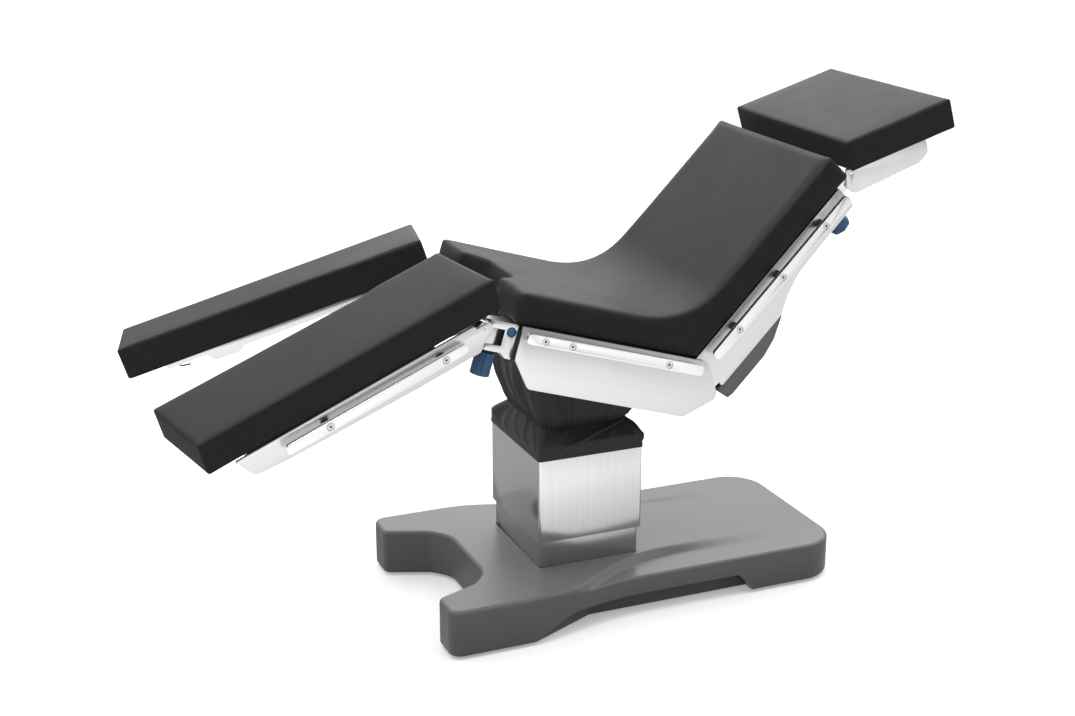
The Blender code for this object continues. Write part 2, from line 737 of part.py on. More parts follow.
def make_tilt_head():
    """The yoke on the column and the cross that turns in it and carries the seat."""
    floor = OUTER_TOP + GAP
    eye = TILT_Z
    profile = [
        (-EAR_OUTER, floor),
        (EAR_OUTER, floor),
        (EAR_OUTER, eye + EAR_EYE),
        (EAR_INNER, eye + EAR_EYE),
        (EAR_INNER, floor + YOKE_BASE),
        (-EAR_INNER, floor + YOKE_BASE),
        (-EAR_INNER, eye + EAR_EYE),
        (-EAR_OUTER, eye + EAR_EYE),
    ]
    mesh = plate([profile], 2 * EAR_HALF)
    mesh.transform(Matrix.Rotation(math.radians(90), 4, "X"))
    mesh.transform(Matrix.Rotation(math.radians(90), 4, "Z"))
    yoke = piece("column_yoke", mesh, "cast_aluminium", lift)
    bore = cylinder(TRUNNION_RADIUS + RUNNING, -0.2, 0.2, 16, "Y")
    combine(yoke, "DIFFERENCE", tool("yoke_bore", bore, lift, (0, 0, eye)))

    half = CRADLE_HALF
    cross = piece("tilt_cradle", box([-h for h in half], half), "cast_aluminium", cradle)
    soften(cross, 0.006, 1)
    across = cylinder(TRUNNION_RADIUS, -EAR_OUTER, EAR_OUTER, 16, "Y")
    along = cylinder(TRUNNION_RADIUS, -LUG_OUTER, LUG_OUTER, 16, "X")
    combine(cross, "UNION", tool("cradle_trunnion_across", across, cradle), tool("cradle_trunnion_along", along, cradle))


def ring_points(half, corner, steps=3):
    """A rounded rectangle about the column axis, as points of one ring of a loft."""
    corners = [(half[0], half[1], corner), (-half[0], half[1], corner), (-half[0], -half[1], corner), (half[0], -half[1], corner)]
    return rounded(corners, 90 / steps)


def loft(rings):
    """A thin skin through rounded rectangles (half sizes, corner, height, tilt about the cross axis)."""
    bm = bmesh.new()
    rows = []
    for half, corner, height, tilt in rings:
        lean = Matrix.Rotation(math.radians(tilt), 3, "Y")
        row = []
        for x, y in ring_points(half, corner):
            point = lean @ Vector((x, y, height - TILT_Z))
            row.append(bm.verts.new(point + Vector((0, 0, TILT_Z))))
        rows.append(row)
    for low, high in zip(rows, rows[1:]):
        count = len(low)
        for k in range(count):
            after = (k + 1) % count
            bm.faces.new((low[k], low[after], high[after], high[k]))
    return from_bmesh(bm)


def make_gaiter():
    """The cloth over the tilt head: a skirt on the column and a boot up to the seat."""
    lap = OUTER_SLEEVE[0] + GAP
    wide = OUTER_SLEEVE[1] + GAP
    skirt_rings = [
        ((lap, wide), 0.006, SKIRT_HEM_Z, 0.0),
        ((lap, wide), 0.006, OUTER_TOP + 0.002, 0.0),
        ((lap - 0.010, wide - 0.012), 0.016, OUTER_TOP + 0.014, 0.0),
        (GATHER_HALF, 0.030, GATHER_Z - 0.003, 0.0),
    ]
    boot_top = TILT_Z + BOOT_TOP_Z
    boot_rings = [
        (GATHER_HALF, 0.030, GATHER_Z, 0.0),
        ((0.125, 0.142), 0.034, GATHER_Z + 0.048, SEAT_TILT * 0.4),
        ((0.133, 0.154), 0.034, GATHER_Z + 0.095, SEAT_TILT * 0.8),
        (BOOT_TOP_HALF, 0.034, boot_top, SEAT_TILT),
    ]
    for name, rings in (("gaiter_skirt", skirt_rings), ("gaiter_boot", boot_rings)):
        cloth = piece(name, loft(rings), "gaiter_black", lift)
        shell = cloth.modifiers.new("cloth_thickness", "SOLIDIFY")
        shell.thickness = GAITER_WALL
        shell.offset = 1


def seat_pad_outline():
    """The seat cushion in plan, with the round cut-out at its foot end."""
    foot = SEAT_PAD_FOOT_X
    half = [
        (HINGE_X + 0.05, PAD_HALF, 0.0),
        (foot, PAD_HALF, 0.028),
        (foot - 0.004, CUTOUT_HALF, 0.020),
        (foot + CUTOUT_DEPTH, CUTOUT_HALF - 0.050, 0.045),
    ]
    return rounded(mirrored(half), 15)


def make_seat():
    """The seat: cushion, deck, frame, side plates and rails."""
    lean = math.radians(BACK_RAISE_LIMIT / 2)
    hinge_z = SEAT_DECK_Z - HINGE_DROP
    pad_low = SEAT_DECK_Z + GAP
    pad = plate([seat_pad_outline()], PAD_THICK, pad_low + PAD_THICK / 2)
    normal = (math.cos(lean), 0, math.sin(lean))
    pad = flatten(cut_off(pad, (HINGE_X - 0.001, 0, hinge_z), normal))
    soften(piece("seat_pad", pad, "pad_black", seat), PAD_ROUND, 2)

    deck_foot = SEAT_FOOT_X + 0.002
    deck_half = [
        (BEAM_END_X, BEAM_OUTER, 0.0),
        (deck_foot, BEAM_OUTER, 0.004),
        (deck_foot, CUTOUT_HALF + 0.006, 0.010),
        (SEAT_PAD_FOOT_X + CUTOUT_DEPTH + 0.012, CUTOUT_HALF - 0.046, 0.045),
    ]
    deck_top = SEAT_DECK_Z - GAP
    deck = plate([rounded(mirrored(deck_half))], DECK_THICK, deck_top - DECK_THICK / 2)
    piece("seat_deck", deck, "deck_board", seat)

    under = deck_top - DECK_THICK - GAP
    seat_frame = piece("seat_frame", box((-0.105, -0.050, CENTRE_BEAM_Z), (0.105, 0.050, under)), "frame_steel", seat)
    cross = box((-0.070, -BEAM_INNER - 0.010, CROSS_BEAM_Z), (0.060, BEAM_INNER + 0.010, under - 0.001))
    combine(seat_frame, "UNION", tool("seat_cross_beam", cross, seat))
    for name, side in SIDES.items():
        ys = sorted((side * BEAM_INNER, side * BEAM_OUTER))
        beam = box((WEB_X[1] + GAP, ys[0], BEAM_BOTTOM), (BEAM_END_X, ys[1], under - 0.0005))
        combine(seat_frame, "UNION", tool(f"seat_beam_{name}", beam, seat))
        ear = rounded(
            [
                (BEAM_END_X - 0.050, BEAM_BOTTOM + 0.006, 0.0),
                (HINGE_X + HINGE_EYE, hinge_z - HINGE_EYE, HINGE_EYE),
                (HINGE_X + HINGE_EYE, hinge_z + HINGE_EYE, HINGE_EYE),
                (BEAM_END_X - 0.050, under - 0.006, 0.0),
            ]
        )
        lug = standing(ear, BEAM_INNER - 0.001, BEAM_INNER + 0.016, side)
        combine(seat_frame, "UNION", tool(f"seat_hinge_ear_{name}", lug, seat))
        tongue = coupler_tongue(side, RUNNING)
        combine(seat_frame, "DIFFERENCE", tool(f"coupler_socket_{name}", tongue, seat))
    for name, low, high in (("foot", -LUG_OUTER, -LUG_INNER), ("head", LUG_INNER, LUG_OUTER)):
        outline = disc(LUG_EYE, 12, (0, 0), 180, 180) + [(LUG_EYE, CENTRE_BEAM_Z + 0.01), (-LUG_EYE, CENTRE_BEAM_Z + 0.01)]
        lug = plate([outline], high - low)
        lug.transform(Matrix.Rotation(math.radians(90), 4, "X"))
        lug.transform(Matrix.Rotation(math.radians(90), 4, "Z"))
        lug.transform(Matrix.Translation(((low + high) / 2, 0, 0)))
        combine(seat_frame, "UNION", tool(f"seat_lug_{name}", lug, seat))
    tilt_bore = cylinder(TRUNNION_RADIUS + RUNNING, -0.2, 0.2, 16, "X")
    hinge_bore = cylinder(HINGE_RADIUS + RUNNING, -0.3, 0.3, 20, "Y")
    combine(seat_frame, "DIFFERENCE", tool("lateral_bore", tilt_bore, seat))
    combine(seat_frame, "DIFFERENCE", tool("hinge_bore", hinge_bore, seat, (HINGE_X, 0, hinge_z)))

    bottom = SEAT_DECK_Z - SEAT_SIDE_DEPTH
    side_outline = rounded(
        [
            (SEAT_FOOT_X, deck_top, 0.0),
            (SEAT_FOOT_X + 0.0015, bottom + 0.063, 0.012),
            (SEAT_FOOT_X + 0.0515, bottom + 0.002, 0.016),
            (SEAT_HEAD_X - 0.070, bottom, 0.016),
            (SEAT_HEAD_X, bottom + 0.056, 0.010),
            (SEAT_HEAD_X, bottom + 0.071, 0.010),
            (SEAT_HEAD_X - 0.038, deck_top - 0.0115, 0.014),
            (SEAT_HEAD_X - 0.059, deck_top, 0.012),
        ]
    )
    for name, side in SIDES.items():
        mesh = standing(side_outline, SIDE_OUTER - SIDE_THICK, SIDE_OUTER, side)
        piece(f"seat_side_plate_{name}", mesh, "stainless", seat)
        rail(f"seat_rail_{name}", SEAT_RAIL, SEAT_DECK_Z - RAIL_DROP, SEAT_SPACERS, SIDE_OUTER, RAIL_OUTER, seat, side)


def coupler_tongue(side, clearance):
    """The tongue of a leg coupler, or its socket when it is given a clearance."""
    low_y, high_y = sorted((side * (PIN_Y - clearance), side * (PIN_Y + 0.014 + clearance)))
    low = (WEB_X[1] - 0.004, low_y, 0.148 - clearance)
    high = (WEB_X[1] + 0.034 + clearance, high_y, 0.174 + clearance)
    return box(low, high)


def make_leg_coupler(name, side):
    """A stainless C-shaped coupler at the seat's foot end, with its release button."""
    y_out = side * (PIN_Y + ARM_HALF)
    y_in = side * (PIN_Y - ARM_HALF)
    plan = [(WEB_X[1], y_in), (WEB_X[1], y_out)]
    start = 90 if side > 0 else 270
    plan += disc(ARM_HALF, 10, (PIN_X, side * PIN_Y), start, side * 180)
    block = plate([plan], ARM_TOP - ARM_BOTTOM, (ARM_TOP + ARM_BOTTOM) / 2)
    coupler = piece(f"leg_coupler_{name}", block, "stainless", seat)
    foot = rounded(
        [
            (WEB_X[1], WEB_BOTTOM, 0.0),
            (WEB_X[1], ARM_BOTTOM + 0.02, 0.0),
            (WEB_X[0] + 0.004, ARM_BOTTOM + 0.02, 0.0),
            (WEB_X[0] + 0.004, ARM_BOTTOM, 0.0),
            (WEB_X[0] + 0.016, WEB_BOTTOM, 0.006),
        ]
    )
    web = standing(foot, PIN_Y - ARM_HALF + GAP, PIN_Y + ARM_HALF - GAP, side)
    tongue = coupler_tongue(side, 0.0)
    combine(coupler, "UNION", tool(f"coupler_web_{name}", web, seat), tool(f"coupler_tongue_{name}", tongue, seat))
    gap_low = ARM_BOTTOM + ARM_THICK
    gap_high = ARM_TOP - ARM_THICK
    mouth = box((PIN_X - 0.1, min(y_in, y_out) - 0.05, gap_low), (WEB_X[0], max(y_in, y_out) + 0.05, gap_high))
    bore = cylinder(PIN_RADIUS + RUNNING, 0.1, 0.3, 16)
    hole = cylinder(BUTTON_RADIUS + RUNNING, -0.018, 0.05, 18, "Y")
    combine(
        coupler,
        "DIFFERENCE",
        tool(f"coupler_mouth_{name}", mouth, seat),
        tool(f"coupler_bore_{name}", bore, seat, (PIN_X, side * PIN_Y, 0)),
        tool(f"button_hole_{name}", hole, seat, (BUTTON_X, y_out, BUTTON_Z), (0, 0, 0 if side > 0 else 180)),
    )
    button = frame(f"button_{name}", seat, (BUTTON_X, y_out, BUTTON_Z), (0, 0, 0 if side > 0 else 180))
    profile = [(0.0, 0.0042), (0.006, 0.0040), (BUTTON_RADIUS - 0.001, 0.0030), (BUTTON_RADIUS, 0.0015)]
    profile += [(BUTTON_RADIUS, BUTTON_TRAVEL - 0.0176), (0.0, BUTTON_TRAVEL - 0.0176)]
    piece(f"release_button_{name}", turned(profile, 18), "grip_blue", button, turn=(-90, 0, 0))


def make_spread_knob(name, side):
    """The long blue grip under the coupler that clamps the leg's spread."""
    top = ARM_BOTTOM - GAP
    place = frame(f"spread_clamp_{name}", seat, (PIN_X, side * PIN_Y, 0))
    low = top - SPREAD_KNOB_HEIGHT
    grip = flatten(plate([lobed(SPREAD_KNOB_RADIUS, 0.0012, 10)], SPREAD_KNOB_HEIGHT - 0.006, low + (SPREAD_KNOB_HEIGHT - 0.006) / 2))
    knob = piece(f"spread_knob_{name}", grip, "grip_blue", place)
    soften(knob, 0.0015, 1, 60)
    collar = cylinder(0.019, top - 0.0065, top, 20)
    socket = cylinder(PIN_RADIUS + RUNNING, top - 0.020, top + 0.02, 16)
    combine(knob, "UNION", tool(f"knob_collar_{name}", collar, place))
    combine(knob, "DIFFERENCE", tool(f"knob_socket_{name}", socket, place))


def make_knuckle(name, side, knuckle):
    """The knuckle between the coupler's arms, with the pin it turns on and the eye of the fold axis."""
    low = ARM_BOTTOM + ARM_THICK + GAP
    high = ARM_TOP - ARM_THICK - GAP
    barrel = cylinder(BARREL_RADIUS, low, high, 18)
    body = piece(f"leg_knuckle_{name}", barrel, "cast_aluminium", knuckle)
    pin = cylinder(PIN_RADIUS, ARM_BOTTOM - 0.019, ARM_TOP - 0.001, 16)
    arm = rounded(
        [
            (0.004, low + 0.001, 0.0),
            (FOLD_OFFSET - 0.004, low + 0.001, 0.006),
            (FOLD_OFFSET + FOLD_EYE, FOLD_Z - FOLD_EYE, FOLD_EYE),
            (FOLD_OFFSET + FOLD_EYE, FOLD_Z + FOLD_EYE, FOLD_EYE),
            (FOLD_OFFSET - FOLD_EYE, FOLD_Z + FOLD_EYE, 0.008),
            (FOLD_OFFSET - FOLD_EYE - 0.002, high - 0.001, 0.0),
            (0.004, high - 0.001, 0.0),
        ]
    )
    hole = disc(FOLD_PIN_RADIUS + RUNNING, 14, (FOLD_OFFSET, FOLD_Z))
    tongue = standing(arm, -0.0155, 0.0155, 1, [hole])
    combine(body, "UNION", tool(f"knuckle_pin_{name}", pin, knuckle), tool(f"knuckle_tongue_{name}", tongue, knuckle))
    return body


def leg_plate_outline():
    """The outer plate of a leg section, with the eye of the fold axis at its origin."""
    top = LEG_PAD_Z - GAP
    eye = 0.0155
    points = disc(eye, 8, (0, 0), 110, 150)
    end = LEG_PLATE_END
    tail = rounded(
        [
            (0.024, -0.042, 0.010),
            (0.190, -0.042, 0.05),
            (end - 0.106, -0.033, 0.05),
            (end - 0.035, -0.027, 0.012),
            (end - 0.023, -0.019, 0.010),
            (end, top - 0.003, 0.003),
            (end - 0.003, top, 0.0),
            (0.026, top, 0.010),
        ]
    )
    return points + tail


def make_leg(name, side, leg):
    """A leg section: welded frame, rail, cushion and strap hook. Local +X runs to the foot."""
    out = -side
    pad_side = PAD_HALF - PIN_Y
    plate_out = pad_side + SIDE_OUTER - PAD_HALF
    pin_hole = disc(FOLD_PIN_RADIUS + RUNNING, 14)
    outer = standing(leg_plate_outline(), plate_out - SIDE_THICK, plate_out, out)
    body = piece(f"leg_frame_{name}", outer, "stainless", leg)
    deck_top = LEG_PAD_Z - GAP
    near = out * (plate_out - 0.002)
    clear = -out * 0.026
    far = -out * (LEG_PAD_WIDTH - pad_side - 0.010)
    far_end = -out * (LEG_PAD_END_WIDTH - pad_side - 0.012)
    deck_outline = [(0.130, near), (LEG_PLATE_END - 0.030, near), (LEG_PLATE_END - 0.030, far_end), (0.050, far), (0.050, clear), (0.130, clear)]
    if out < 0:
        deck_outline.reverse()
    deck = plate([deck_outline], LEG_DECK_THICK, deck_top - 0.0005 - LEG_DECK_THICK / 2)
    inner_at = LEG_PAD_END_WIDTH - pad_side - 0.030
    inner_top = deck_top - 0.001
    inner_outline = rounded(
        [
            (0.080, 0.0, 0.004),
            (0.415, 0.0, 0.010),
            (0.435, -0.010, 0.006),
            (0.492, -0.010, 0.010),
            (LEG_INNER_END, inner_top, 0.0),
            (0.080, inner_top, 0.0),
        ]
    )
    inner = standing(inner_outline, inner_at, inner_at + 0.006, -out)
    cheek_outline = disc(0.0145, 8, (0, 0), 110, 150) + [(0.070, -0.004), (0.110, 0.004), (0.110, inner_top - 0.0015), (0.028, inner_top - 0.0015)]
    cheek = standing(cheek_outline, 0.0245, 0.0305, -out)
    combine(
        body,
        "UNION",
        tool(f"leg_deck_{name}", deck, leg),
        tool(f"leg_inner_plate_{name}", inner, leg),
        tool(f"leg_cheek_{name}", cheek, leg),
    )
    ends = sorted((out * (plate_out - 0.002), -out * 0.0275))
    pin = cylinder(FOLD_PIN_RADIUS, ends[0], ends[1], 14, "Y")
    ends = sorted((out * (plate_out - 0.002), out * (plate_out + 0.003)))
    cap = cylinder(0.009, ends[0], ends[1], 18, "Y")
    combine(body, "UNION", tool(f"fold_pin_{name}", pin, leg), tool(f"fold_pin_head_{name}", cap, leg))
    hook = strap_hook(-out * (inner_at + 0.003))
    combine(body, "UNION", tool(f"strap_hook_{name}", hook, leg))

    rail(f"leg_rail_{name}", LEG_RAIL, 0.0, LEG_SPACERS, plate_out, plate_out + RAIL_OUTER - SIDE_OUTER, leg, out)

    start = LEG_PAD_START
    end = start + LEG_PAD_LENGTH
    inner_start = -(LEG_PAD_WIDTH - pad_side)
    inner_end = -(LEG_PAD_END_WIDTH - pad_side)
    corners = [
        (start, pad_side, 0.010),
        (start, inner_start, 0.014),
        (start + 0.20, inner_start, 0.08),
        (start + 0.26, inner_end, 0.08),
        (end, inner_end, 0.012),
        (end, pad_side, 0.012),
    ]
    outline = [(x, out * y) for x, y in rounded(corners, 22)]
    pad = flatten(plate([outline], LEG_PAD_THICK, LEG_PAD_Z + LEG_PAD_THICK / 2))
    soften(piece(f"leg_pad_{name}", pad, "pad_black", leg), 0.008, 2)


def strap_hook(across):
    """A bent wire at the end of the inner plate that takes a strap."""
    route = [
        (LEG_INNER_END - 0.010, across, 0.014),
        (LEG_INNER_END + 0.030, across, 0.018),
        (LEG_INNER_END + 0.050, across, 0.014),
        (LEG_INNER_END + 0.055, across, 0.009),
        (LEG_INNER_END + 0.050, across, 0.005),
        (LEG_INNER_END + 0.030, across, 0.002),
    ]
    curve = bpy.data.curves.new("hook", "CURVE")
    curve.dimensions = "3D"
    curve.bevel_depth = 0.002
    curve.bevel_resolution = 1
    curve.use_fill_caps = True
    spline = curve.splines.new("POLY")
    spline.points.add(len(route) - 1)
    for point, place in zip(spline.points, route):
        point.co = (*place, 1)
    return mesh_of(curve)


def make_legs():
    """Both leg sections, each on its spread pin and its fold axis."""
    for name, side in SIDES.items():
        make_leg_coupler(name, side)
        make_spread_knob(name, side)
        turn = 180 - side * LEG_SPREAD
        knuckle = frame(f"knuckle_{name}", seat, (PIN_X, side * PIN_Y, 0), (0, 0, turn))
        make_knuckle(name, side, knuckle)
        leg = frame(f"leg_{name}", knuckle, (FOLD_OFFSET, 0, FOLD_Z), (0, LEG_DROP, 0))
        make_leg(name, side, leg)


def back_side_outline():
    """A side plate of the back: deep round the hinge, slim towards the head, arc about the hinge."""
    top = HINGE_DROP - GAP
    arc = disc(top, 8, (0, 0), 90, 132)
    tail = rounded(
        [
            (BACK_SIDE_HEEL, BACK_SIDE_LOW, 0.006),
            (0.2440, BACK_SIDE_LOW, 0.020),
            (0.290, -0.0312, 0.040),
            (0.345, -0.0165, 0.040),
            (0.450, BACK_SIDE_HIGH, 0.040),
            (BACK_SIDE_END, -0.0125, 0.010),
            (BACK_SIDE_END, top, 0.003),
        ]
    )
    return arc + tail


def make_back():
    """The back section: cushion, deck, side plates, rails, shaft, drive and its cover."""
    lean = math.radians(BACK_RAISE_LIMIT / 2)
    pad_low = HINGE_DROP + GAP
    foot, end = 0.0, BACK_PAD_END
    outline = rounded([(foot, -PAD_HALF, 0.0), (end, -PAD_HALF, 0.012), (end, PAD_HALF, 0.012), (foot, PAD_HALF, 0.0)])
    pad = plate([outline], PAD_THICK, pad_low + PAD_THICK / 2)
    pad = flatten(cut_off(pad, (0.001, 0, 0), (-math.cos(lean), 0, math.sin(lean))))
    soften(piece("back_pad", pad, "pad_black", back), PAD_ROUND, 2)

    deck_top = HINGE_DROP - GAP
    inner = BACK_SIDE_OUTER - 0.008
    y = inner - GAP
    outline = rounded([(BACK_DECK[0], -y, 0.004), (BACK_DECK[1], -y, 0.01), (BACK_DECK[1], y, 0.01), (BACK_DECK[0], y, 0.004)], 45)
    piece("back_deck", plate([outline], DECK_THICK, deck_top - DECK_THICK / 2), "deck_board", back)

    under = deck_top - DECK_THICK - GAP
    front_deep, rear_deep, side_deep = BACK_BEAM_DEPTHS
    front = box((BACK_FRONT_BEAM[0], -y, under - front_deep), (BACK_FRONT_BEAM[1], y, under))
    back_frame = piece("back_frame", front, "frame_steel", back)
    rear = box((BACK_REAR_BEAM[0], -y, under - rear_deep), (BACK_REAR_BEAM[1], y, under))
    combine(back_frame, "UNION", tool("back_cross_beam", rear, back))
    bar_low, bar_high = HEAD_BAR_Z
    for name, side in SIDES.items():
        low_y, high_y = sorted((side * BACK_BEAM_INNER, side * BACK_BEAM_OUTER))
        beam = box((BACK_BEAM_START, low_y, under - side_deep), (SOCKET_X[0] + 0.01, high_y, under - 0.0005))
        ear = rounded(
            [
                (0.070, -0.010, 0.0),
                (0.070, under - 0.002, 0.0),
                (0.0, under - 0.002, 0.010),
                (-HINGE_EYE, HINGE_EYE - 0.002, 0.012),
                (-HINGE_EYE, -HINGE_EYE, HINGE_EYE * 0.9),
                (0.012, -HINGE_EYE, 0.012),
            ]
        )
        lug = standing(ear, BEAM_INNER - 0.024, BEAM_INNER - 0.003, side)
        mid = HEAD_BAR_OUTER - HEAD_BAR_THICK / 2
        low_y, high_y = sorted((side * (mid - 0.012), side * (mid + 0.012)))
        block = box((SOCKET_X[0], low_y, bar_low - 0.010), (SOCKET_X[1], high_y, under - 0.001))
        combine(
            back_frame,
            "UNION",
            tool(f"back_beam_{name}", beam, back),
            tool(f"back_hinge_ear_{name}", lug, back),
            tool(f"head_socket_block_{name}", block, back),
        )
        inner_y, outer_y = HEAD_BAR_OUTER - HEAD_BAR_THICK - RUNNING, HEAD_BAR_OUTER + RUNNING
        low_y, high_y = sorted((side * inner_y, side * outer_y))
        slot = box((HEAD_BAR_START - 0.004, low_y, bar_low - GAP), (SOCKET_X[1] + 0.05, high_y, bar_high + GAP))
        port = cylinder(0.0065, -0.05, bar_low + 0.005, 10)
        combine(
            back_frame,
            "DIFFERENCE",
            tool(f"head_bar_slot_{name}", slot, back),
            tool(f"clamp_port_{name}", port, back, (HEAD_KNOB_X, side * mid, 0)),
        )
    bore = cylinder(HINGE_RADIUS + GAP, -PAD_HALF, PAD_HALF, 20, "Y")
    combine(back_frame, "DIFFERENCE", tool("back_shaft_bore", bore, back))

    outline = back_side_outline()
    for name, side in SIDES.items():
        mesh = standing(outline, inner, BACK_SIDE_OUTER, side)
        piece(f"back_side_plate_{name}", mesh, "stainless", back)
        rail(f"back_rail_{name}", BACK_RAIL, HINGE_DROP - RAIL_DROP, BACK_SPACERS, BACK_SIDE_OUTER, RAIL_OUTER, back, side)
    make_back_drive(under)


def make_back_drive(under):
    """The gear motor that turns the back, and the grey cover below it."""
    housing = standing(rounded(GEAR_HOUSING), -GEAR_HOUSING_HALF, GEAR_HOUSING_HALF)
    motor = piece("back_gear_motor", housing, "frame_steel", back)
    shaft = cylinder(HINGE_RADIUS, -BEAM_OUTER + 0.011, BEAM_OUTER - 0.011, 20, "Y")
    combine(motor, "UNION", tool("back_hinge_shaft", shaft, back))

    low = BACK_SIDE_LOW
    depth = DRIVE_COVER_DEPTH
    hinge_end, heel, floor_start, floor_end, rise, head_end = DRIVE_COVER_X
    outline = rounded(
        [
            (hinge_end, low - 0.0012, 0.0),
            (heel, low - depth + 0.004, 0.006),
            (floor_start, low - depth, 0.010),
            (floor_end, low - depth, 0.012),
            (rise, low - depth + 0.010, 0.012),
            (head_end, low - 0.0045, 0.0),
            (head_end - 0.001, low - 0.0005, 0.0),
        ]
    )
    cover = piece("back_drive_cover", standing(outline, -DRIVE_COVER_HALF, DRIVE_COVER_HALF), "cover_grey", back)
    soften(cover, 0.003, 2)
    wall = DRIVE_COVER_WALL
    pocket_outline = [
        (hinge_end + wall, low + 0.03),
        (heel + wall, low - depth + 0.004 + wall),
        (floor_end, low - depth + wall),
        (rise - 0.002, low - depth + 0.010 + wall),
        (head_end - 0.0085, low + 0.03),
    ]
    pocket = standing(pocket_outline, -DRIVE_COVER_HALF + wall + 0.006, DRIVE_COVER_HALF - wall - 0.006)
    combine(cover, "DIFFERENCE", tool("drive_cover_pocket", pocket, back))


def make_head_mount():
    """Flat bars that slide into the back and carry the head section's pivots, with their clamp knobs."""
    bar_low, bar_high = HEAD_BAR_Z
    bar_outline = [(HEAD_BAR_START, bar_low), (HEAD_X - 0.016, bar_low)]
    bar_outline += disc(HEAD_EYE, 8, (HEAD_X, HEAD_Z), 270, 180)
    bar_outline += [(HEAD_X - 0.030, bar_high), (HEAD_BAR_START, bar_high)]
    inner = HEAD_BAR_OUTER - HEAD_BAR_THICK
    mid = HEAD_BAR_OUTER - HEAD_BAR_THICK / 2
    for name, side in SIDES.items():
        bar = piece(f"head_bar_{name}", standing(bar_outline, inner, HEAD_BAR_OUTER, side), "rail_steel", back)
        reach = sorted((side * (inner + 0.002), side * (HEAD_SIDE_OUTER - 0.0005)))
        pivot = cylinder(HEAD_PIVOT_RADIUS, reach[0], reach[1], 16, "Y")
        combine(bar, "UNION", tool(f"head_pivot_{name}", pivot, back, (HEAD_X, 0, HEAD_Z)))
        place = frame(f"head_clamp_{name}", back, (HEAD_KNOB_X, side * mid, 0))
        top = bar_low - 0.010 - HEAD_KNOB_NECK
        low = top - HEAD_KNOB_HEIGHT
        grip = flatten(plate([lobed(HEAD_KNOB_RADIUS, 0.0022, 7, 4)], HEAD_KNOB_HEIGHT, (top + low) / 2))
        knob = piece(f"head_knob_{name}", grip, "grip_blue", place)
        soften(knob, 0.006, 2, 60)
        stem = cylinder(0.006, top - 0.006, bar_low - 2 * GAP, 10)
        combine(knob, "UNION", tool(f"head_knob_stem_{name}", stem, place))


def make_head():
    """The head section: an aluminium tray with rounded sides under its cushion."""
    deck_top = HEAD_PAD_Z - GAP
    start = HEAD_PAD_X
    side_end = HEAD_SIDE_LOW[-1][0]
    side_outline = rounded([(start, deck_top, 0.003), *HEAD_SIDE_LOW, (side_end, deck_top, 0.010)])
    y = HEAD_SIDE_OUTER - HEAD_SIDE_THICK - 0.0005
    low = (HEAD_TRAY_X[0], -y, deck_top - HEAD_TRAY_THICK)
    tray = piece("head_frame", box(low, (HEAD_TRAY_X[1], y, deck_top)), "cast_aluminium", head)
    for name, side in SIDES.items():
        hole = disc(HEAD_PIVOT_RADIUS + RUNNING, 16)
        wall = standing(side_outline, y - 0.0005, HEAD_SIDE_OUTER, side, [hole])
        combine(tray, "UNION", tool(f"head_side_{name}", wall, head))
    length = HEAD_PAD_LENGTH
    half = HEAD_PAD_HALF
    outline = rounded([(start, -half, 0.014), (start + length, -half, 0.014), (start + length, half, 0.014), (start, half, 0.014)])
    pad = flatten(plate([outline], PAD_THICK + 0.002, HEAD_PAD_Z + PAD_THICK / 2 + 0.001))
    soften(piece("head_pad", pad, "pad_black", head), 0.008, 2)


make_base_cover()
make_chassis()
make_feet()
make_castors()
make_column()
make_tilt_head()
make_gaiter()
make_seat()
make_legs()
make_back()
make_head_mount()
make_head()
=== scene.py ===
# %% [markdown]
# # Dressing an operating table
#
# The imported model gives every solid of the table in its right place, but in plain colours and with
# few faces. This lesson gives each solid its real surface: brushed steel, painted metal, coated
# cushions and cloth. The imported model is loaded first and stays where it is. New pieces are laid
# over it, ride on its bodies, and stand for the plain solids that they cover.

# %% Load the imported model
import json
import math

import bmesh
import bpy
import numpy as np
from mathutils import Matrix, Vector, noise

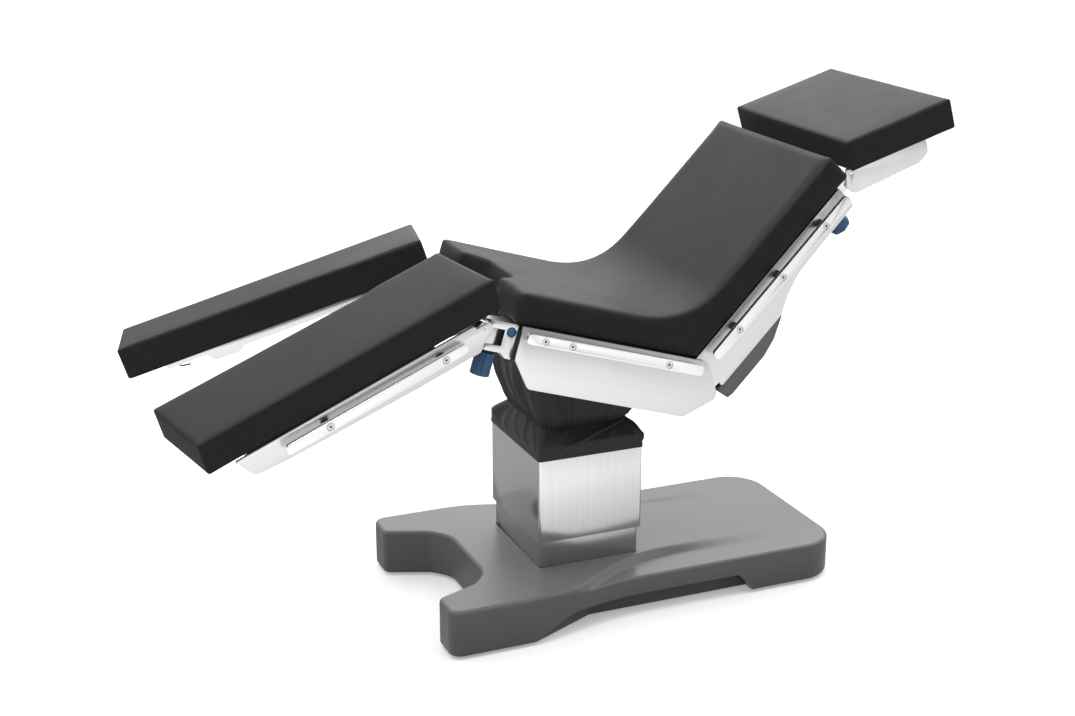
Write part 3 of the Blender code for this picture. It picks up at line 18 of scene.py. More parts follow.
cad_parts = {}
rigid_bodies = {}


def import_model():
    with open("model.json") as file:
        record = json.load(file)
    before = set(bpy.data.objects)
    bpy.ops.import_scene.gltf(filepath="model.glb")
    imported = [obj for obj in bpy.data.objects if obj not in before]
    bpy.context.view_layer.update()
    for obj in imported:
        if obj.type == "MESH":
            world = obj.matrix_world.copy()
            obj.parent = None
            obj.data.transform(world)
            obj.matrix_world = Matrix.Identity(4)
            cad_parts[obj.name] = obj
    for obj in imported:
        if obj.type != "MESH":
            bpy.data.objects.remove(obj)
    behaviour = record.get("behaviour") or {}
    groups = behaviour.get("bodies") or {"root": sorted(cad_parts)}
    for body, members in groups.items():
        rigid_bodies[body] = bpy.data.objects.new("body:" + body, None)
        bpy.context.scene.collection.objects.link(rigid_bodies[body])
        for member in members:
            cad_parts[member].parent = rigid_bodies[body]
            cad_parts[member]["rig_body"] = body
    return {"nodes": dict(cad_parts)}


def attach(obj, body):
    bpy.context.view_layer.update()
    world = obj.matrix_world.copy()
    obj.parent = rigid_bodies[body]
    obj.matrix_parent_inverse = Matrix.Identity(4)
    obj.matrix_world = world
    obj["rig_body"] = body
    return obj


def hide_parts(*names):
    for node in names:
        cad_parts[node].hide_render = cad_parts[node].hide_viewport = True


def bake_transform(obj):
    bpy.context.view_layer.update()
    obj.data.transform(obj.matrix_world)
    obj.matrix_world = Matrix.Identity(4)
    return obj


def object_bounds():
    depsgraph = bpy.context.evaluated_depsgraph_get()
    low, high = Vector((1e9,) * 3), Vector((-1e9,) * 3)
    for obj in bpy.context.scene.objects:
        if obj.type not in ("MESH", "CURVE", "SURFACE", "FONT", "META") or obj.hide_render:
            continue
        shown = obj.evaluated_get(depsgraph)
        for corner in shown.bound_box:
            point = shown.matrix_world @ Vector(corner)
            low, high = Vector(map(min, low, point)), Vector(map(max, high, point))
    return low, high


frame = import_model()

cad_low, cad_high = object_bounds()
cad_box = tuple(round(v, 3) for v in cad_high - cad_low)
print("packed model:", len(frame["nodes"]), "pieces, box", cad_box)

# %% [markdown]
# ## Where the sections stand
#
# The seat, back, head and legs each lean at an angle of their own. It is easier to model a cushion
# lying level and then to turn it to its place, so each section gets a matrix that carries level
# measures to the place where it stands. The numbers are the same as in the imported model: the tilt
# axis over the column, the hinge of the back, the pivot of the head and the fold axis of each leg.

# %% Section matrices
def turn_y(degrees):
    """A turn about the Y axis."""
    return Matrix.Rotation(math.radians(degrees), 4, "Y")


SIDES = {"left": -1, "right": 1}
COLUMN_X = 0.0655
TILT_POINT = Vector((COLUMN_X, 0.0, 0.500))
HINGE = Vector((0.193, 0.150))
PIN_X, PIN_Y = -0.3525, 0.243
SEAT_LEAN, BACK_LEAN, HEAD_LEAN, LEG_LEAN, LEG_OUT = 16.9, 62.6, 29.0, 34.5, 13.7
SEAT = Matrix.Translation(TILT_POINT) @ turn_y(SEAT_LEAN)
BACK = SEAT @ Matrix.Translation((HINGE.x, 0, HINGE.y)) @ turn_y(-BACK_LEAN)
HEAD = BACK @ Matrix.Translation((0.605, 0, 0.034)) @ turn_y(HEAD_LEAN)
LEGS = {}
for name, side in SIDES.items():
    pin = Matrix.Translation((PIN_X, side * PIN_Y, 0))
    outwards = Matrix.Rotation(math.radians(180 - side * LEG_OUT), 4, "Z")
    fold = Matrix.Translation((0.035, 0, 0.179)) @ turn_y(LEG_LEAN)
    LEGS[name] = SEAT @ pin @ outwards @ fold
print("left leg's fold axis at", tuple(round(v, 3) for v in LEGS["left"].translation))

# %% [markdown]
# ## The camera
#
# A camera placed by eye never quite matches a photograph. This one was worked out instead: the
# edges of the cushions and of the column were measured in the picture, and a lens and a place were
# looked for that put the model's own edges on the same spots. The result is a lens of 57.5 mm, a
# little to the foot end of the table, looking 18 degrees down.

# %% Camera
camera_data = bpy.data.cameras.new("camera")
camera_data.sensor_fit = "HORIZONTAL"
camera_data.sensor_width = 36.0
camera_data.lens = 57.514
camera = bpy.data.objects.new("camera", camera_data)
camera.location = (-1.5292, -3.6177, 1.8909)
camera.rotation_euler = (math.radians(90 - 18.187), 0, math.radians(-22.794))
bpy.context.scene.collection.objects.link(camera)
bpy.context.scene.camera = camera
print("camera", tuple(round(v, 3) for v in camera.location))

# %% [markdown]
# ## Floor, sky and lamps
#
# A studio picture of a dark object on white needs two things at once: a white ground, and enough
# darkness round the sides for steel to show its shape. The sky does both. To the camera it is plain
# white. To everything else it is a dome, bright overhead and dim at the horizon, so that level
# surfaces come out light and upright ones dark. It is dimmer on the camera's side too, which keeps
# the near sides of the cushions and of the base deep. Three lamps add soft shadows and highlights.

# %% Sky and lamps
def add_node(tree, kind, values=None, **settings):
    """A new shader node with its settings and the values of its inputs."""
    node = tree.nodes.new("ShaderNode" + kind)
    for key, value in settings.items():
        setattr(node, key, value)
    for socket, value in (values or {}).items():
        node.inputs[socket].default_value = value
    return node


def graded(tree, value, start, end, low, high, **settings):
    """A value that runs from low to high while another runs from start to end."""
    limits = {"From Min": start, "From Max": end, "To Min": low, "To Max": high}
    node = add_node(tree, "MapRange", limits, **settings)
    tree.links.new(value, node.inputs["Value"])
    return node.outputs["Result"]


def product(tree, first, second):
    """Two values multiplied."""
    node = add_node(tree, "Math", operation="MULTIPLY")
    tree.links.new(first, node.inputs[0])
    tree.links.new(second, node.inputs[1])
    return node.outputs[0]


def mixed(tree, factor, first, second, **settings):
    """One colour over another. Each is a value or comes from another node."""
    node = add_node(tree, "Mix", data_type="RGBA", **settings)
    for socket, entry in (("Factor", factor), ("A", first), ("B", second)):
        if isinstance(entry, bpy.types.NodeSocket):
            tree.links.new(entry, node.inputs[socket])
        else:
            node.inputs[socket].default_value = entry
    return node.outputs["Result"]


world = bpy.data.worlds.new("studio")
world.use_nodes = True
bpy.context.scene.world = world
tree = world.node_tree
tree.nodes.clear()
split = add_node(tree, "SeparateXYZ")
tree.links.new(add_node(tree, "TexCoord").outputs["Generated"], split.inputs[0])
dome = add_node(tree, "ValToRGB")
stops = [(0.0, 0.20), (0.45, 0.30), (0.60, 0.80), (0.80, 1.35), (1.0, 1.45)]
while len(dome.color_ramp.elements) < len(stops):
    dome.color_ramp.elements.new(0.5)
for element, (position, value) in zip(dome.color_ramp.elements, stops):
    element.position = position
    element.color = (value, value, value, 1)
tree.links.new(graded(tree, split.outputs["Z"], -1.0, 1.0, 0.0, 1.0), dome.inputs[0])
side_light = graded(tree, split.outputs["Y"], -0.9, 0.6, 0.30, 1.15)
shaped = mixed(tree, 1.0, dome.outputs["Color"], side_light, blend_type="MULTIPLY")
to_camera = add_node(tree, "LightPath").outputs["Is Camera Ray"]
background = add_node(tree, "Background")
tree.links.new(mixed(tree, to_camera, shaped, (1, 1, 1, 1)), background.inputs["Color"])
tree.links.new(background.outputs[0], add_node(tree, "OutputWorld").inputs[0])


def lamp(name, place, target, size, power):
    """A square soft lamp that looks at a point."""
    data = bpy.data.lights.new(name, "AREA")
    data.size = size
    data.energy = power
    light = bpy.data.objects.new(name, data)
    light.location = place
    light.rotation_euler = (Vector(target) - Vector(place)).to_track_quat("-Z", "Y").to_euler()
    bpy.context.scene.collection.objects.link(light)
    return light


lamp("key_lamp", (-1.3, -0.7, 4.0), (0, 0, 0.6), 2.2, 60)
lamp("head_end_lamp", (2.8, -0.8, 2.6), (0.2, 0, 0.7), 1.6, 16)
lamp("back_lamp", (1.4, 3.0, 2.6), (0.2, 0, 0.5), 3.2, 50)
print("lamps:", len(bpy.data.lights))

# %% [markdown]
# The floor is a wide sheet. Its colour is nearly white to the camera, but it throws back less light
# than it shows, or the underside of the table would glow. Steel is another matter: an upright sheet
# of steel, seen a little from above, mirrors the floor in front of it. So mirror rays see a light
# floor too, brighter on the side of the camera than on the far left.

# %% Floor
def select_only(thing):
    """Deselect everything but one object, and make it the active one."""
    if bpy.context.mode != "OBJECT":
        bpy.ops.object.mode_set(mode="OBJECT")
    bpy.ops.object.select_all(action="DESELECT")
    thing.select_set(True)
    bpy.context.view_layer.objects.active = thing


bpy.ops.object.select_all(action="DESELECT")
bpy.ops.mesh.primitive_plane_add(size=60, location=(0, 0, -0.0005))
floor = bpy.context.object
floor.name = "studio_floor"
floor_paint = bpy.data.materials.new("floor_paint")
floor_paint.use_nodes = True
tree = floor_paint.node_tree
tree.nodes.clear()
path = add_node(tree, "LightPath")
across = add_node(tree, "SeparateXYZ")
tree.links.new(add_node(tree, "TexCoord").outputs["Object"], across.inputs[0])
grade = graded(tree, across.outputs["Y"], -1.3, 0.6, 0.92, 0.10, interpolation_type="SMOOTHSTEP")
sideways = graded(tree, across.outputs["X"], -1.0, 1.6, 1.10, 0.72)
to_steel = product(tree, path.outputs["Is Glossy Ray"], product(tree, grade, sideways))
tone = mixed(tree, path.outputs["Is Camera Ray"], (0.20, 0.20, 0.20, 1), (0.86, 0.86, 0.86, 1))
matte = add_node(tree, "BsdfDiffuse")
glow = add_node(tree, "Emission", {"Color": (1, 1, 1, 1)})
lift = add_node(tree, "Math", {1: 0.32}, operation="MULTIPLY_ADD")
both = add_node(tree, "AddShader")
tree.links.new(tone, matte.inputs["Color"])
tree.links.new(path.outputs["Is Camera Ray"], lift.inputs[0])
tree.links.new(to_steel, lift.inputs[2])
tree.links.new(lift.outputs[0], glow.inputs["Strength"])
tree.links.new(matte.outputs[0], both.inputs[0])
tree.links.new(glow.outputs[0], both.inputs[1])
tree.links.new(both.outputs[0], add_node(tree, "OutputMaterial").inputs[0])
floor.data.materials.append(floor_paint)
print("floor", floor.dimensions[:2])

# %% [markdown]
# ## Finishes
#
# Every finish is a Principled shader with two or three textures that are computed, not painted.
# They read the Object coordinates, so they stick to the piece. Helpers lay the common parts: a
# texture with its scale, two colours and two roughnesses for it to vary between, and a bump.

# %% Helpers for finishes
def start_finish(name, colour, roughness, metallic=0.0):
    """A new material and its parts: node tree, shader and Object coordinates."""
    material = bpy.data.materials.new(name)
    material.use_nodes = True
    tree = material.node_tree
    shader = tree.nodes["Principled BSDF"]
    shader.inputs["Base Color"].default_value = (*colour, 1)
    shader.inputs["Roughness"].default_value = roughness
    shader.inputs["Metallic"].default_value = metallic
    return material, tree, shader, add_node(tree, "TexCoord").outputs["Object"]


def cloudy(tree, place, scale, detail=3.0, roughness=0.5):
    """A noise texture at so many spots to the metre."""
    values = {"Scale": scale, "Detail": detail, "Roughness": roughness}
    texture = add_node(tree, "TexNoise", values)
    tree.links.new(place, texture.inputs["Vector"])
    return texture.outputs["Fac"]


def grained(tree, place, scale):
    """Small cells, as in the grain of leather."""
    cells = add_node(tree, "TexVoronoi", {"Scale": scale})
    tree.links.new(place, cells.inputs["Vector"])
    return cells.outputs["Distance"]


def turned_place(tree, place, angles, stretch):
    """Coordinates turned to a section's own directions and stretched along them."""
    turn = add_node(tree, "Mapping", {"Rotation": angles})
    tree.links.new(place, turn.inputs["Vector"])
    pull = add_node(tree, "Mapping", {"Scale": stretch})
    tree.links.new(turn.outputs[0], pull.inputs["Vector"])
    return pull.outputs[0]


def vary(tree, shader, colour_led_by, dark, light, rough_led_by=None, smoothest=0.0, roughest=1.0):
    """Let the colour, and where wanted the roughness, vary with a texture."""
    colour = mixed(tree, colour_led_by, (*dark, 1), (*light, 1))
    tree.links.new(colour, shader.inputs["Base Color"])
    if rough_led_by is not None:
        rough = graded(tree, rough_led_by, 0.0, 1.0, smoothest, roughest)
        tree.links.new(rough, shader.inputs["Roughness"])


def bumped(tree, shader, factor, depth, strength=1.0, under=None):
    """A bump of so many metres, laid over another one where it is given."""
    bump = add_node(tree, "Bump", {"Distance": depth, "Strength": strength})
    tree.links.new(factor, bump.inputs["Height"])
    if under is not None:
        tree.links.new(under, bump.inputs["Normal"])
    tree.links.new(bump.outputs["Normal"], shader.inputs["Normal"])
    return bump.outputs["Normal"]


# %% [markdown]
# ### Brushed and polished steel
#
# Stainless sheet is brushed in one direction. Under a lens that is a field of fine scratches, all
# parallel. A noise texture squeezed across them and drawn out along them gives the same streaks.
# The streaks have to run along each section, so each section gets the finish turned its own way.

# %% Steel
SHEET_STREAKS, COLUMN_STREAKS, RAIL_STREAKS = (3, 420, 420), (2, 300, 300), (3, 160, 160)
UPRIGHT = Matrix.Rotation(math.radians(90), 4, "Y")


def brushed_steel(name, section, tone=0.80, roughness=0.30, stretch=SHEET_STREAKS, depth=0.00004):
    """Stainless steel, brushed along a section's own X axis."""
    colour = (tone, tone, tone * 0.985)
    material, tree, shader, place = start_finish(name, colour, roughness, 1.0)
    angles = section.to_3x3().inverted().to_euler()
    streaks = cloudy(tree, turned_place(tree, place, angles, stretch), 1.0, 4.0, 0.6)
    broad = cloudy(tree, place, 5.0, 2.0)
    dark = (tone * 0.92, tone * 0.92, tone * 0.91)
    light = (min(1.0, tone * 1.07),) * 3
    vary(tree, shader, streaks, dark, light, broad, roughness * 0.8, roughness * 1.25)
    bumped(tree, shader, streaks, depth, 0.4)
    return material


# The lowest sleeve is the same steel at a lower tone: painted shade, where it stands in the table's
# shadow near the base.
steel = {
    "column": brushed_steel("brushed_steel_column", UPRIGHT, 0.78, 0.17, COLUMN_STREAKS),
    "foot": brushed_steel("brushed_steel_column_foot_painted_shade", UPRIGHT, 0.62, 0.20, COLUMN_STREAKS),
}
bright = {}
sections = {"seat": SEAT, "back": BACK, "left_leg": LEGS["left"], "right_leg": LEGS["right"]}
for name, section in sections.items():
    steel[name] = brushed_steel(f"brushed_steel_{name}", section)
    bright[name] = brushed_steel(f"rail_steel_{name}", section, 0.97, 0.24, RAIL_STREAKS, 0.000006)
print("steel finishes:", len(steel) + len(bright))

# %% [markdown]
# ### Cast metal, paint and plastic
#
# Castings are bead-blasted: an even, fine, matt grain. The base and the hidden frame are painted,
# and paint always shows a faint unevenness called orange peel. The moulded plastics have a spark
# eroded grain, which is coarser and softer.

# %% Cast metal, paint and plastic
def blasted_metal(name, tone, roughness):
    """Aluminium with a fine blasted grain."""
    material, tree, shader, place = start_finish(name, (tone, tone, tone), roughness, 1.0)
    grain = cloudy(tree, place, 900.0)
    cast = cloudy(tree, place, 14.0)
    dark, light = (tone * 0.9,) * 3, (tone * 1.08,) * 3
    vary(tree, shader, cast, dark, light, grain, roughness * 0.85, roughness * 1.15)
    bumped(tree, shader, grain, 0.00008, 0.5)
    return material


def painted(name, colour, roughness, peel=0.00010):
    """Paint with a little orange peel."""
    material, tree, shader, place = start_finish(name, colour, roughness)
    skin = cloudy(tree, place, 260.0, 2.0)
    broad = cloudy(tree, place, 3.5)
    dark, light = [c * 0.93 for c in colour], [c * 1.06 for c in colour]
    vary(tree, shader, broad, dark, light, skin, roughness * 0.9, roughness * 1.1)
    bumped(tree, shader, skin, peel, 0.35)
    shader.inputs["Specular IOR Level"].default_value = 0.30
    return material


def moulded(name, colour, roughness, grain_scale=700.0, depth=0.00012):
    """Plastic with the fine leather-like grain of its mould."""
    material, tree, shader, place = start_finish(name, colour, roughness)
    broad = cloudy(tree, place, 22.0, 4.0)
    dark, light = [c * 0.85 for c in colour], [c * 1.15 for c in colour]
    vary(tree, shader, broad, dark, light, broad, roughness * 0.88, roughness * 1.1)
    bumped(tree, shader, grained(tree, place, grain_scale), depth, 0.5)
    return material


casting = blasted_metal("cast_aluminium_plain", 0.74, 0.34)
tray_metal = blasted_metal("cast_aluminium_tray", 0.86, 0.40)
base_paint = painted("base_paint", (0.170, 0.172, 0.175), 0.34, 0.00008)
frame_paint = painted("frame_paint", (0.022, 0.022, 0.023), 0.50)
# Near-black paint. It is also painted shade, on the floors of the screw sockets and in the coupler's
# mouth.
black_and_shade_paint = painted("blackened_steel_and_painted_shade", (0.010, 0.010, 0.010), 0.60)
cover_plastic = moulded("cover_plastic", (0.240, 0.243, 0.247), 0.52)
grip_plastic = moulded("grip_plastic", (0.058, 0.160, 0.330), 0.38, 500.0, 0.00008)
deck_laminate = moulded("deck_laminate", (0.040, 0.039, 0.038), 0.50, 300.0, 0.00006)
tyre_rubber = moulded("foot_rubber", (0.020, 0.020, 0.021), 0.78, 350.0, 0.00015)
print("metal, paint and plastic finishes are ready")

# %% [markdown]
# ### Coated cushions and cloth
#
# The cushions are foam under a black coated cloth that wipes clean: smooth, half matt, with a skin
# grain you can just feel, and slow waves where the foam gives. The gaiter is a thin woven cloth, so
# it gets threads, made from two wave textures that cross, and the faint sheen that fibres give.

# %% Coated cloth and gaiter cloth
def with_sheen(shader, weight, roughness):
    """The faint sheen that fibres and soft coatings give."""
    shader.inputs["Sheen Weight"].default_value = weight
    shader.inputs["Sheen Roughness"].default_value = roughness


def coated_cloth(name):
    """Black wipe-clean upholstery."""
    material, tree, shader, place = start_finish(name, (0.021, 0.021, 0.022), 0.52)
    waves = cloudy(tree, place, 9.0)
    fine = cloudy(tree, place, 60.0, 4.0)
    dark, light = (0.018, 0.018, 0.019), (0.026, 0.026, 0.027)
    vary(tree, shader, fine, dark, light, waves, 0.46, 0.58)
    soft = bumped(tree, shader, waves, 0.0008, 0.25)
    bumped(tree, shader, grained(tree, place, 820.0), 0.00010, 0.45, soft)
    shader.inputs["Specular IOR Level"].default_value = 0.15
    with_sheen(shader, 0.05, 0.4)
    return material


def woven_cloth(name):
    """The thin black cloth of the gaiter."""
    material, tree, shader, place = start_finish(name, (0.040, 0.040, 0.041), 0.66)
    weave = add_node(tree, "Math", operation="MULTIPLY_ADD")
    for direction, socket in zip("XYZ", weave.inputs):
        thread = {"Scale": 190.0, "Distortion": 0.4}
        wave = add_node(tree, "TexWave", thread, bands_direction=direction)
        tree.links.new(place, wave.inputs["Vector"])
        tree.links.new(wave.outputs["Fac"], socket)
    broad = cloudy(tree, place, 16.0, 4.0)
    vary(tree, shader, broad, (0.034, 0.034, 0.035), (0.052, 0.052, 0.053))
    bumped(tree, shader, weave.outputs[0], 0.00012, 0.5)
    with_sheen(shader, 0.12, 0.45)
    return material


upholstery = coated_cloth("coated_upholstery")
gaiter_cloth = woven_cloth("gaiter_weave")
print("finishes in all:", len(bpy.data.materials))

# %% [markdown]
# ## Outlines
#
# Cushions, covers and cutters all start from an outline: a list of corners, each with its own
# radius. A short function puts an arc in each corner. A circle with that many points is then added
# and its points are moved onto the outline, which gives a clean face that edit mode can extrude.

# %% Outline to slab
def add_primitive(operator, name, **values):
    """Add a primitive by its operator, with nothing else selected."""
    bpy.ops.object.select_all(action="DESELECT")
    operator(**values)
    bpy.context.object.name = name
    return bpy.context.object


def rounded(corners, step=10):
    """The points of an outline whose corners (x, y, radius) are arcs."""
    points = []
    for i, (x, y, radius) in enumerate(corners):
        here = Vector((x, y))
        before = Vector(corners[i - 1][:2]) - here
        after = Vector(corners[(i + 1) % len(corners)][:2]) - here
        opening = before.angle(after)
        turn = math.pi - opening
        if radius <= 0 or turn < 0.01:
            points.append(here)
            continue
        reach = min(radius / math.tan(opening / 2), 0.49 * before.length, 0.49 * after.length)
        radius = reach * math.tan(opening / 2)
        first = here + before.normalized() * reach
        inward = (before.normalized() + after.normalized()).normalized()
        middle = here + inward * radius / math.sin(opening / 2)
        sign = 1 if before.cross(after) < 0 else -1
        arcs = max(1, math.ceil(math.degrees(turn) / step))
        for k in range(arcs + 1):
            points.append(middle + Matrix.Rotation(sign * turn * k / arcs, 2) @ (first - middle))
    return points


def mirrored(half):
    """A whole outline from its half at +Y, listed from the head end to the foot end."""
    return half + [(x, -y, radius) for x, y, radius in reversed(half)]


def slab(name, points, low, high, axis="Z"):
    """Extrude an outline between two heights."""
    size = {"vertices": len(points), "fill_type": "NGON"}
    piece = add_primitive(bpy.ops.mesh.primitive_circle_add, name, **size)
    for vertex, point in zip(piece.data.vertices, points):
        vertex.co = (point[0], point[1], low)
    bpy.ops.object.mode_set(mode="EDIT")
    bpy.ops.mesh.select_all(action="SELECT")
    bpy.ops.mesh.extrude_region_move(TRANSFORM_OT_translate={"value": (0, 0, high - low)})
    bpy.ops.mesh.select_all(action="SELECT")
    bpy.ops.mesh.normals_make_consistent(inside=False)
    bpy.ops.object.mode_set(mode="OBJECT")
    if axis == "Y":
        piece.data.transform(Matrix.Rotation(math.radians(90), 4, "X"))
    return piece


def soften(piece, width, steps=4, angle=50):
    """Round the sharp edges and keep the result."""
    select_only(piece)
    bevel = piece.modifiers.new("rounded_edge", "BEVEL")
    bevel.width = width
    bevel.segments = steps
    bevel.limit_method = "ANGLE"
    bevel.angle_limit = math.radians(angle)
    bpy.ops.object.modifier_apply(modifier=bevel.name)
    return piece


def carve(piece, *cutters):
    """Take cutters away from a piece, and remove them."""
    for cutter in cutters:
        select_only(piece)
        cut = piece.modifiers.new("carve", "BOOLEAN")
        cut.operation = "DIFFERENCE"
        cut.solver = "EXACT"
        cut.object = cutter
        bpy.ops.object.modifier_apply(modifier=cut.name)
        bpy.data.objects.remove(cutter)
    return piece


def sliced(piece, cuts):
    """Slice a piece all the way through along planes (point, normal)."""
    mesh = bmesh.new()
    mesh.from_mesh(piece.data)
    for point, normal in cuts:
        every = mesh.verts[:] + mesh.edges[:] + mesh.faces[:]
        bmesh.ops.bisect_plane(mesh, geom=every, plane_co=point, plane_no=normal)
    mesh.to_mesh(piece.data)
    mesh.free()
    return piece


def dress(piece, finish, body=None, smooth_below=40):
    """Give a piece its finish, its shading and the body that it rides on."""
    select_only(piece)
    bpy.ops.object.shade_smooth_by_angle(angle=math.radians(smooth_below))
    piece.data.materials.append(finish)
    if body:
        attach(piece, body)
    return piece


# %% [markdown]
# ## The rigid pieces
#
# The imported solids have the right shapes, but each is a set of loose triangles with knife-sharp
# edges. Real sheet metal is deburred, and that narrow rounded edge catches a bright line of light.
# So each rigid solid is copied, its triangles are welded and merged into whole faces, and a narrow
# bevel runs round its edges. The copy then stands for the solid.

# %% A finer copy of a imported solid
SHARP = 34


def finer_copy(node, finish, edge=0.0006, steps=2, cutters=()):
    """Weld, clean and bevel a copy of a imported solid, and let it stand for that solid."""
    source = frame["nodes"][node]
    piece = bpy.data.objects.new(f"dressed_{node}", source.data.copy())
    bpy.context.scene.collection.objects.link(piece)
    select_only(piece)
    piece.data.materials.clear()
    bpy.ops.mesh.customdata_custom_splitnormals_clear()
    bpy.ops.object.mode_set(mode="EDIT")
    bpy.ops.mesh.select_all(action="SELECT")
    bpy.ops.mesh.remove_doubles(threshold=0.00002)
    bpy.ops.mesh.dissolve_limited(angle_limit=math.radians(0.6))
    bpy.ops.object.mode_set(mode="OBJECT")
    carve(piece, *cutters)
    soften(piece, edge, steps, SHARP)
    bpy.ops.object.shade_smooth_by_angle(angle=math.radians(SHARP))
    piece.data.materials.append(finish)
    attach(piece, source["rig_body"])
    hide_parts(node)
    return piece


rigid = {
    "column_inner_sleeve": (steel["foot"], "stainless"),
    "column_middle_sleeve": (steel["column"], "stainless"),
    "column_outer_sleeve": (steel["column"], "stainless"),
    "column_yoke": (casting, "cast_aluminium"),
    "tilt_cradle": (casting, "cast_aluminium"),
    "seat_deck": (deck_laminate, "deck_board"),
    "back_deck": (deck_laminate, "deck_board"),
    "back_drive_cover": (cover_plastic, "cover_grey"),
    "head_frame": (tray_metal, "cast_aluminium"),
}
hidden = ["column_guide", "column_stage_tube", "column_ram", "base_chassis"]
hidden += ["seat_frame", "back_frame", "back_gear_motor"]
for name in SIDES:
    rigid[f"seat_side_plate_{name}"] = (steel["seat"], "stainless")
    rigid[f"back_side_plate_{name}"] = (steel["back"], "stainless")
    rigid[f"head_bar_{name}"] = (bright["back"], "rail_steel")
    rigid[f"head_knob_{name}"] = (grip_plastic, "grip_blue")
    rigid[f"leg_coupler_{name}"] = (steel["seat"], "stainless")
    rigid[f"leg_knuckle_{name}"] = (casting, "cast_aluminium")
    rigid[f"leg_frame_{name}"] = (steel[f"{name}_leg"], "stainless")
    rigid[f"release_button_{name}"] = (grip_plastic, "grip_blue")
    for end in ("foot_end", "head_end"):
        hidden.append(f"castor_fork_{end}_{name}")
        rigid[f"castor_wheel_{end}_{name}"] = (tyre_rubber, "rubber")
        rigid[f"jack_pad_{end}_{name}"] = (tyre_rubber, "rubber")
rigid.update({node: (frame_paint, "frame_steel") for node in hidden})
for node, (finish, slot) in rigid.items():
    finer_copy(node, finish)
print("finer copies:", len(rigid))

# %% [markdown]
# ## The base cover
#
# The cover of the base is one big moulding, and its charm is in the way that the level top over the
# fork runs past the column and sinks into a lower shelf on each side. There is no sharp step: the
# shelf starts from nothing beside the column, gets deep quickly, and fades out to the head end.
#
# Such a surface is easier to bend than to build. The cover starts as a plain slab with rounded
# edges. It is then sliced into a fine net, and every point of its upper part is lowered to the
# height that the surface has over that spot. The slice planes leave the sharp edges as they are.
# Two mouldings meet in front of the column, and the joint between them is a hair-wide groove.

# %% Height of the moulding over each spot
BASE_TOP, SHELF_TOP, BASE_HEM = 0.121, 0.102, 0.006
FOLD_LEVEL, LOWERED_ABOVE, HOLLOW_TOP = 0.066, 0.0925, 0.0905
ARCH_WALL, ARCH_END = 0.208, 0.40


def smooth(value, low, high):
    """0 below low, 1 above high, and an S-curve between them."""
    t = min(1.0, max(0.0, (value - low) / (high - low)))
    return t * t * (3 - 2 * t)


def moulding_height(x, y):
    """Height of the base cover's top at a spot, x from the column's axis."""
    level = BASE_TOP - (BASE_TOP - SHELF_TOP) * smooth(x, 0.05, 0.58)
    crease = 0.149 + 0.152 / (1 + math.exp((x - 0.005) / 0.065))
    crease += 0.03 * (1 - smooth(x, -0.20, -0.15))
    soft = 0.011 + 0.018 * smooth(x, 0.10, 0.45)
    shelf = smooth(abs(y), crease - soft, crease + soft)
    depth = smooth(x, -0.185, -0.03)
    return level - (level - SHELF_TOP) * shelf * depth


for x in (-0.3, -0.1, 0.1, 0.4):
    print("x", x, "heights", [round(moulding_height(x, y), 4) for y in (0.0, 0.15, 0.2, 0.24)])

# %% [markdown]
# The cover is hollow. Its underside has an arch on each side, so that a foot can go under it, and
# the open space inside holds the castors and the jack feet.

# %% Slab, arches and hollow
base_half = [
    (0.654, 0.247, 0.095),
    (0.030, 0.247, 0.50),
    (-0.170, 0.297, 0.50),
    (-0.410, 0.297, 0.030),
    (-0.410, 0.203, 0.020),
    (-0.300, 0.158, 0.06),
    (-0.262, 0.110, 0.07),
]
cover = slab("base_moulding", rounded(mirrored(base_half), 4), BASE_HEM, BASE_TOP)
soften(cover, 0.009, 5, 60)
arch = [
    (-0.290, -0.030, 0.0),
    (-0.215, 0.004, 0.03),
    (-0.105, 0.057, 0.12),
    (0.362, 0.057, 0.020),
    (0.396, 0.020, 0.0),
    (0.424, -0.030, 0.0),
]
for name, side in SIDES.items():
    near, far = sorted((-side * ARCH_WALL, -side * ARCH_END))
    recess = slab(f"arch_{name}", rounded(arch, 5), near, far, "Y")
    bpy.ops.object.mode_set(mode="EDIT")
    bpy.ops.mesh.select_all(action="SELECT")
    slant = {"plane_co": (-0.027, side * ARCH_WALL, 0), "plane_no": (-0.089, -side * 0.188, 0)}
    bpy.ops.mesh.bisect(**slant, clear_outer=True, use_fill=True)
    bpy.ops.object.mode_set(mode="OBJECT")
    carve(cover, recess)
hollow = [
    (0.632, 0.198, 0.06),
    (-0.045, 0.198, 0.0),
    (-0.240, 0.287, 0.0),
    (-0.400, 0.287, 0.0),
    (-0.400, 0.219, 0.0),
    (-0.290, 0.174, 0.0),
    (-0.248, 0.100, 0.0),
]
well = [(0.1296, 0.1476), (-0.1296, 0.1476), (-0.1296, -0.1476), (0.1296, -0.1476)]
carve(cover, slab("hollow", rounded(mirrored(hollow), 8), -0.05, HOLLOW_TOP))
carve(cover, slab("column_well", well, 0.05, 0.2))
print("cover before slicing:", len(cover.data.polygons), "faces")

# %% [markdown]
# The sculpting needs points to move, so the slab is sliced into an even net. Each point near the
# top is then lowered by what the height function says for its spot.

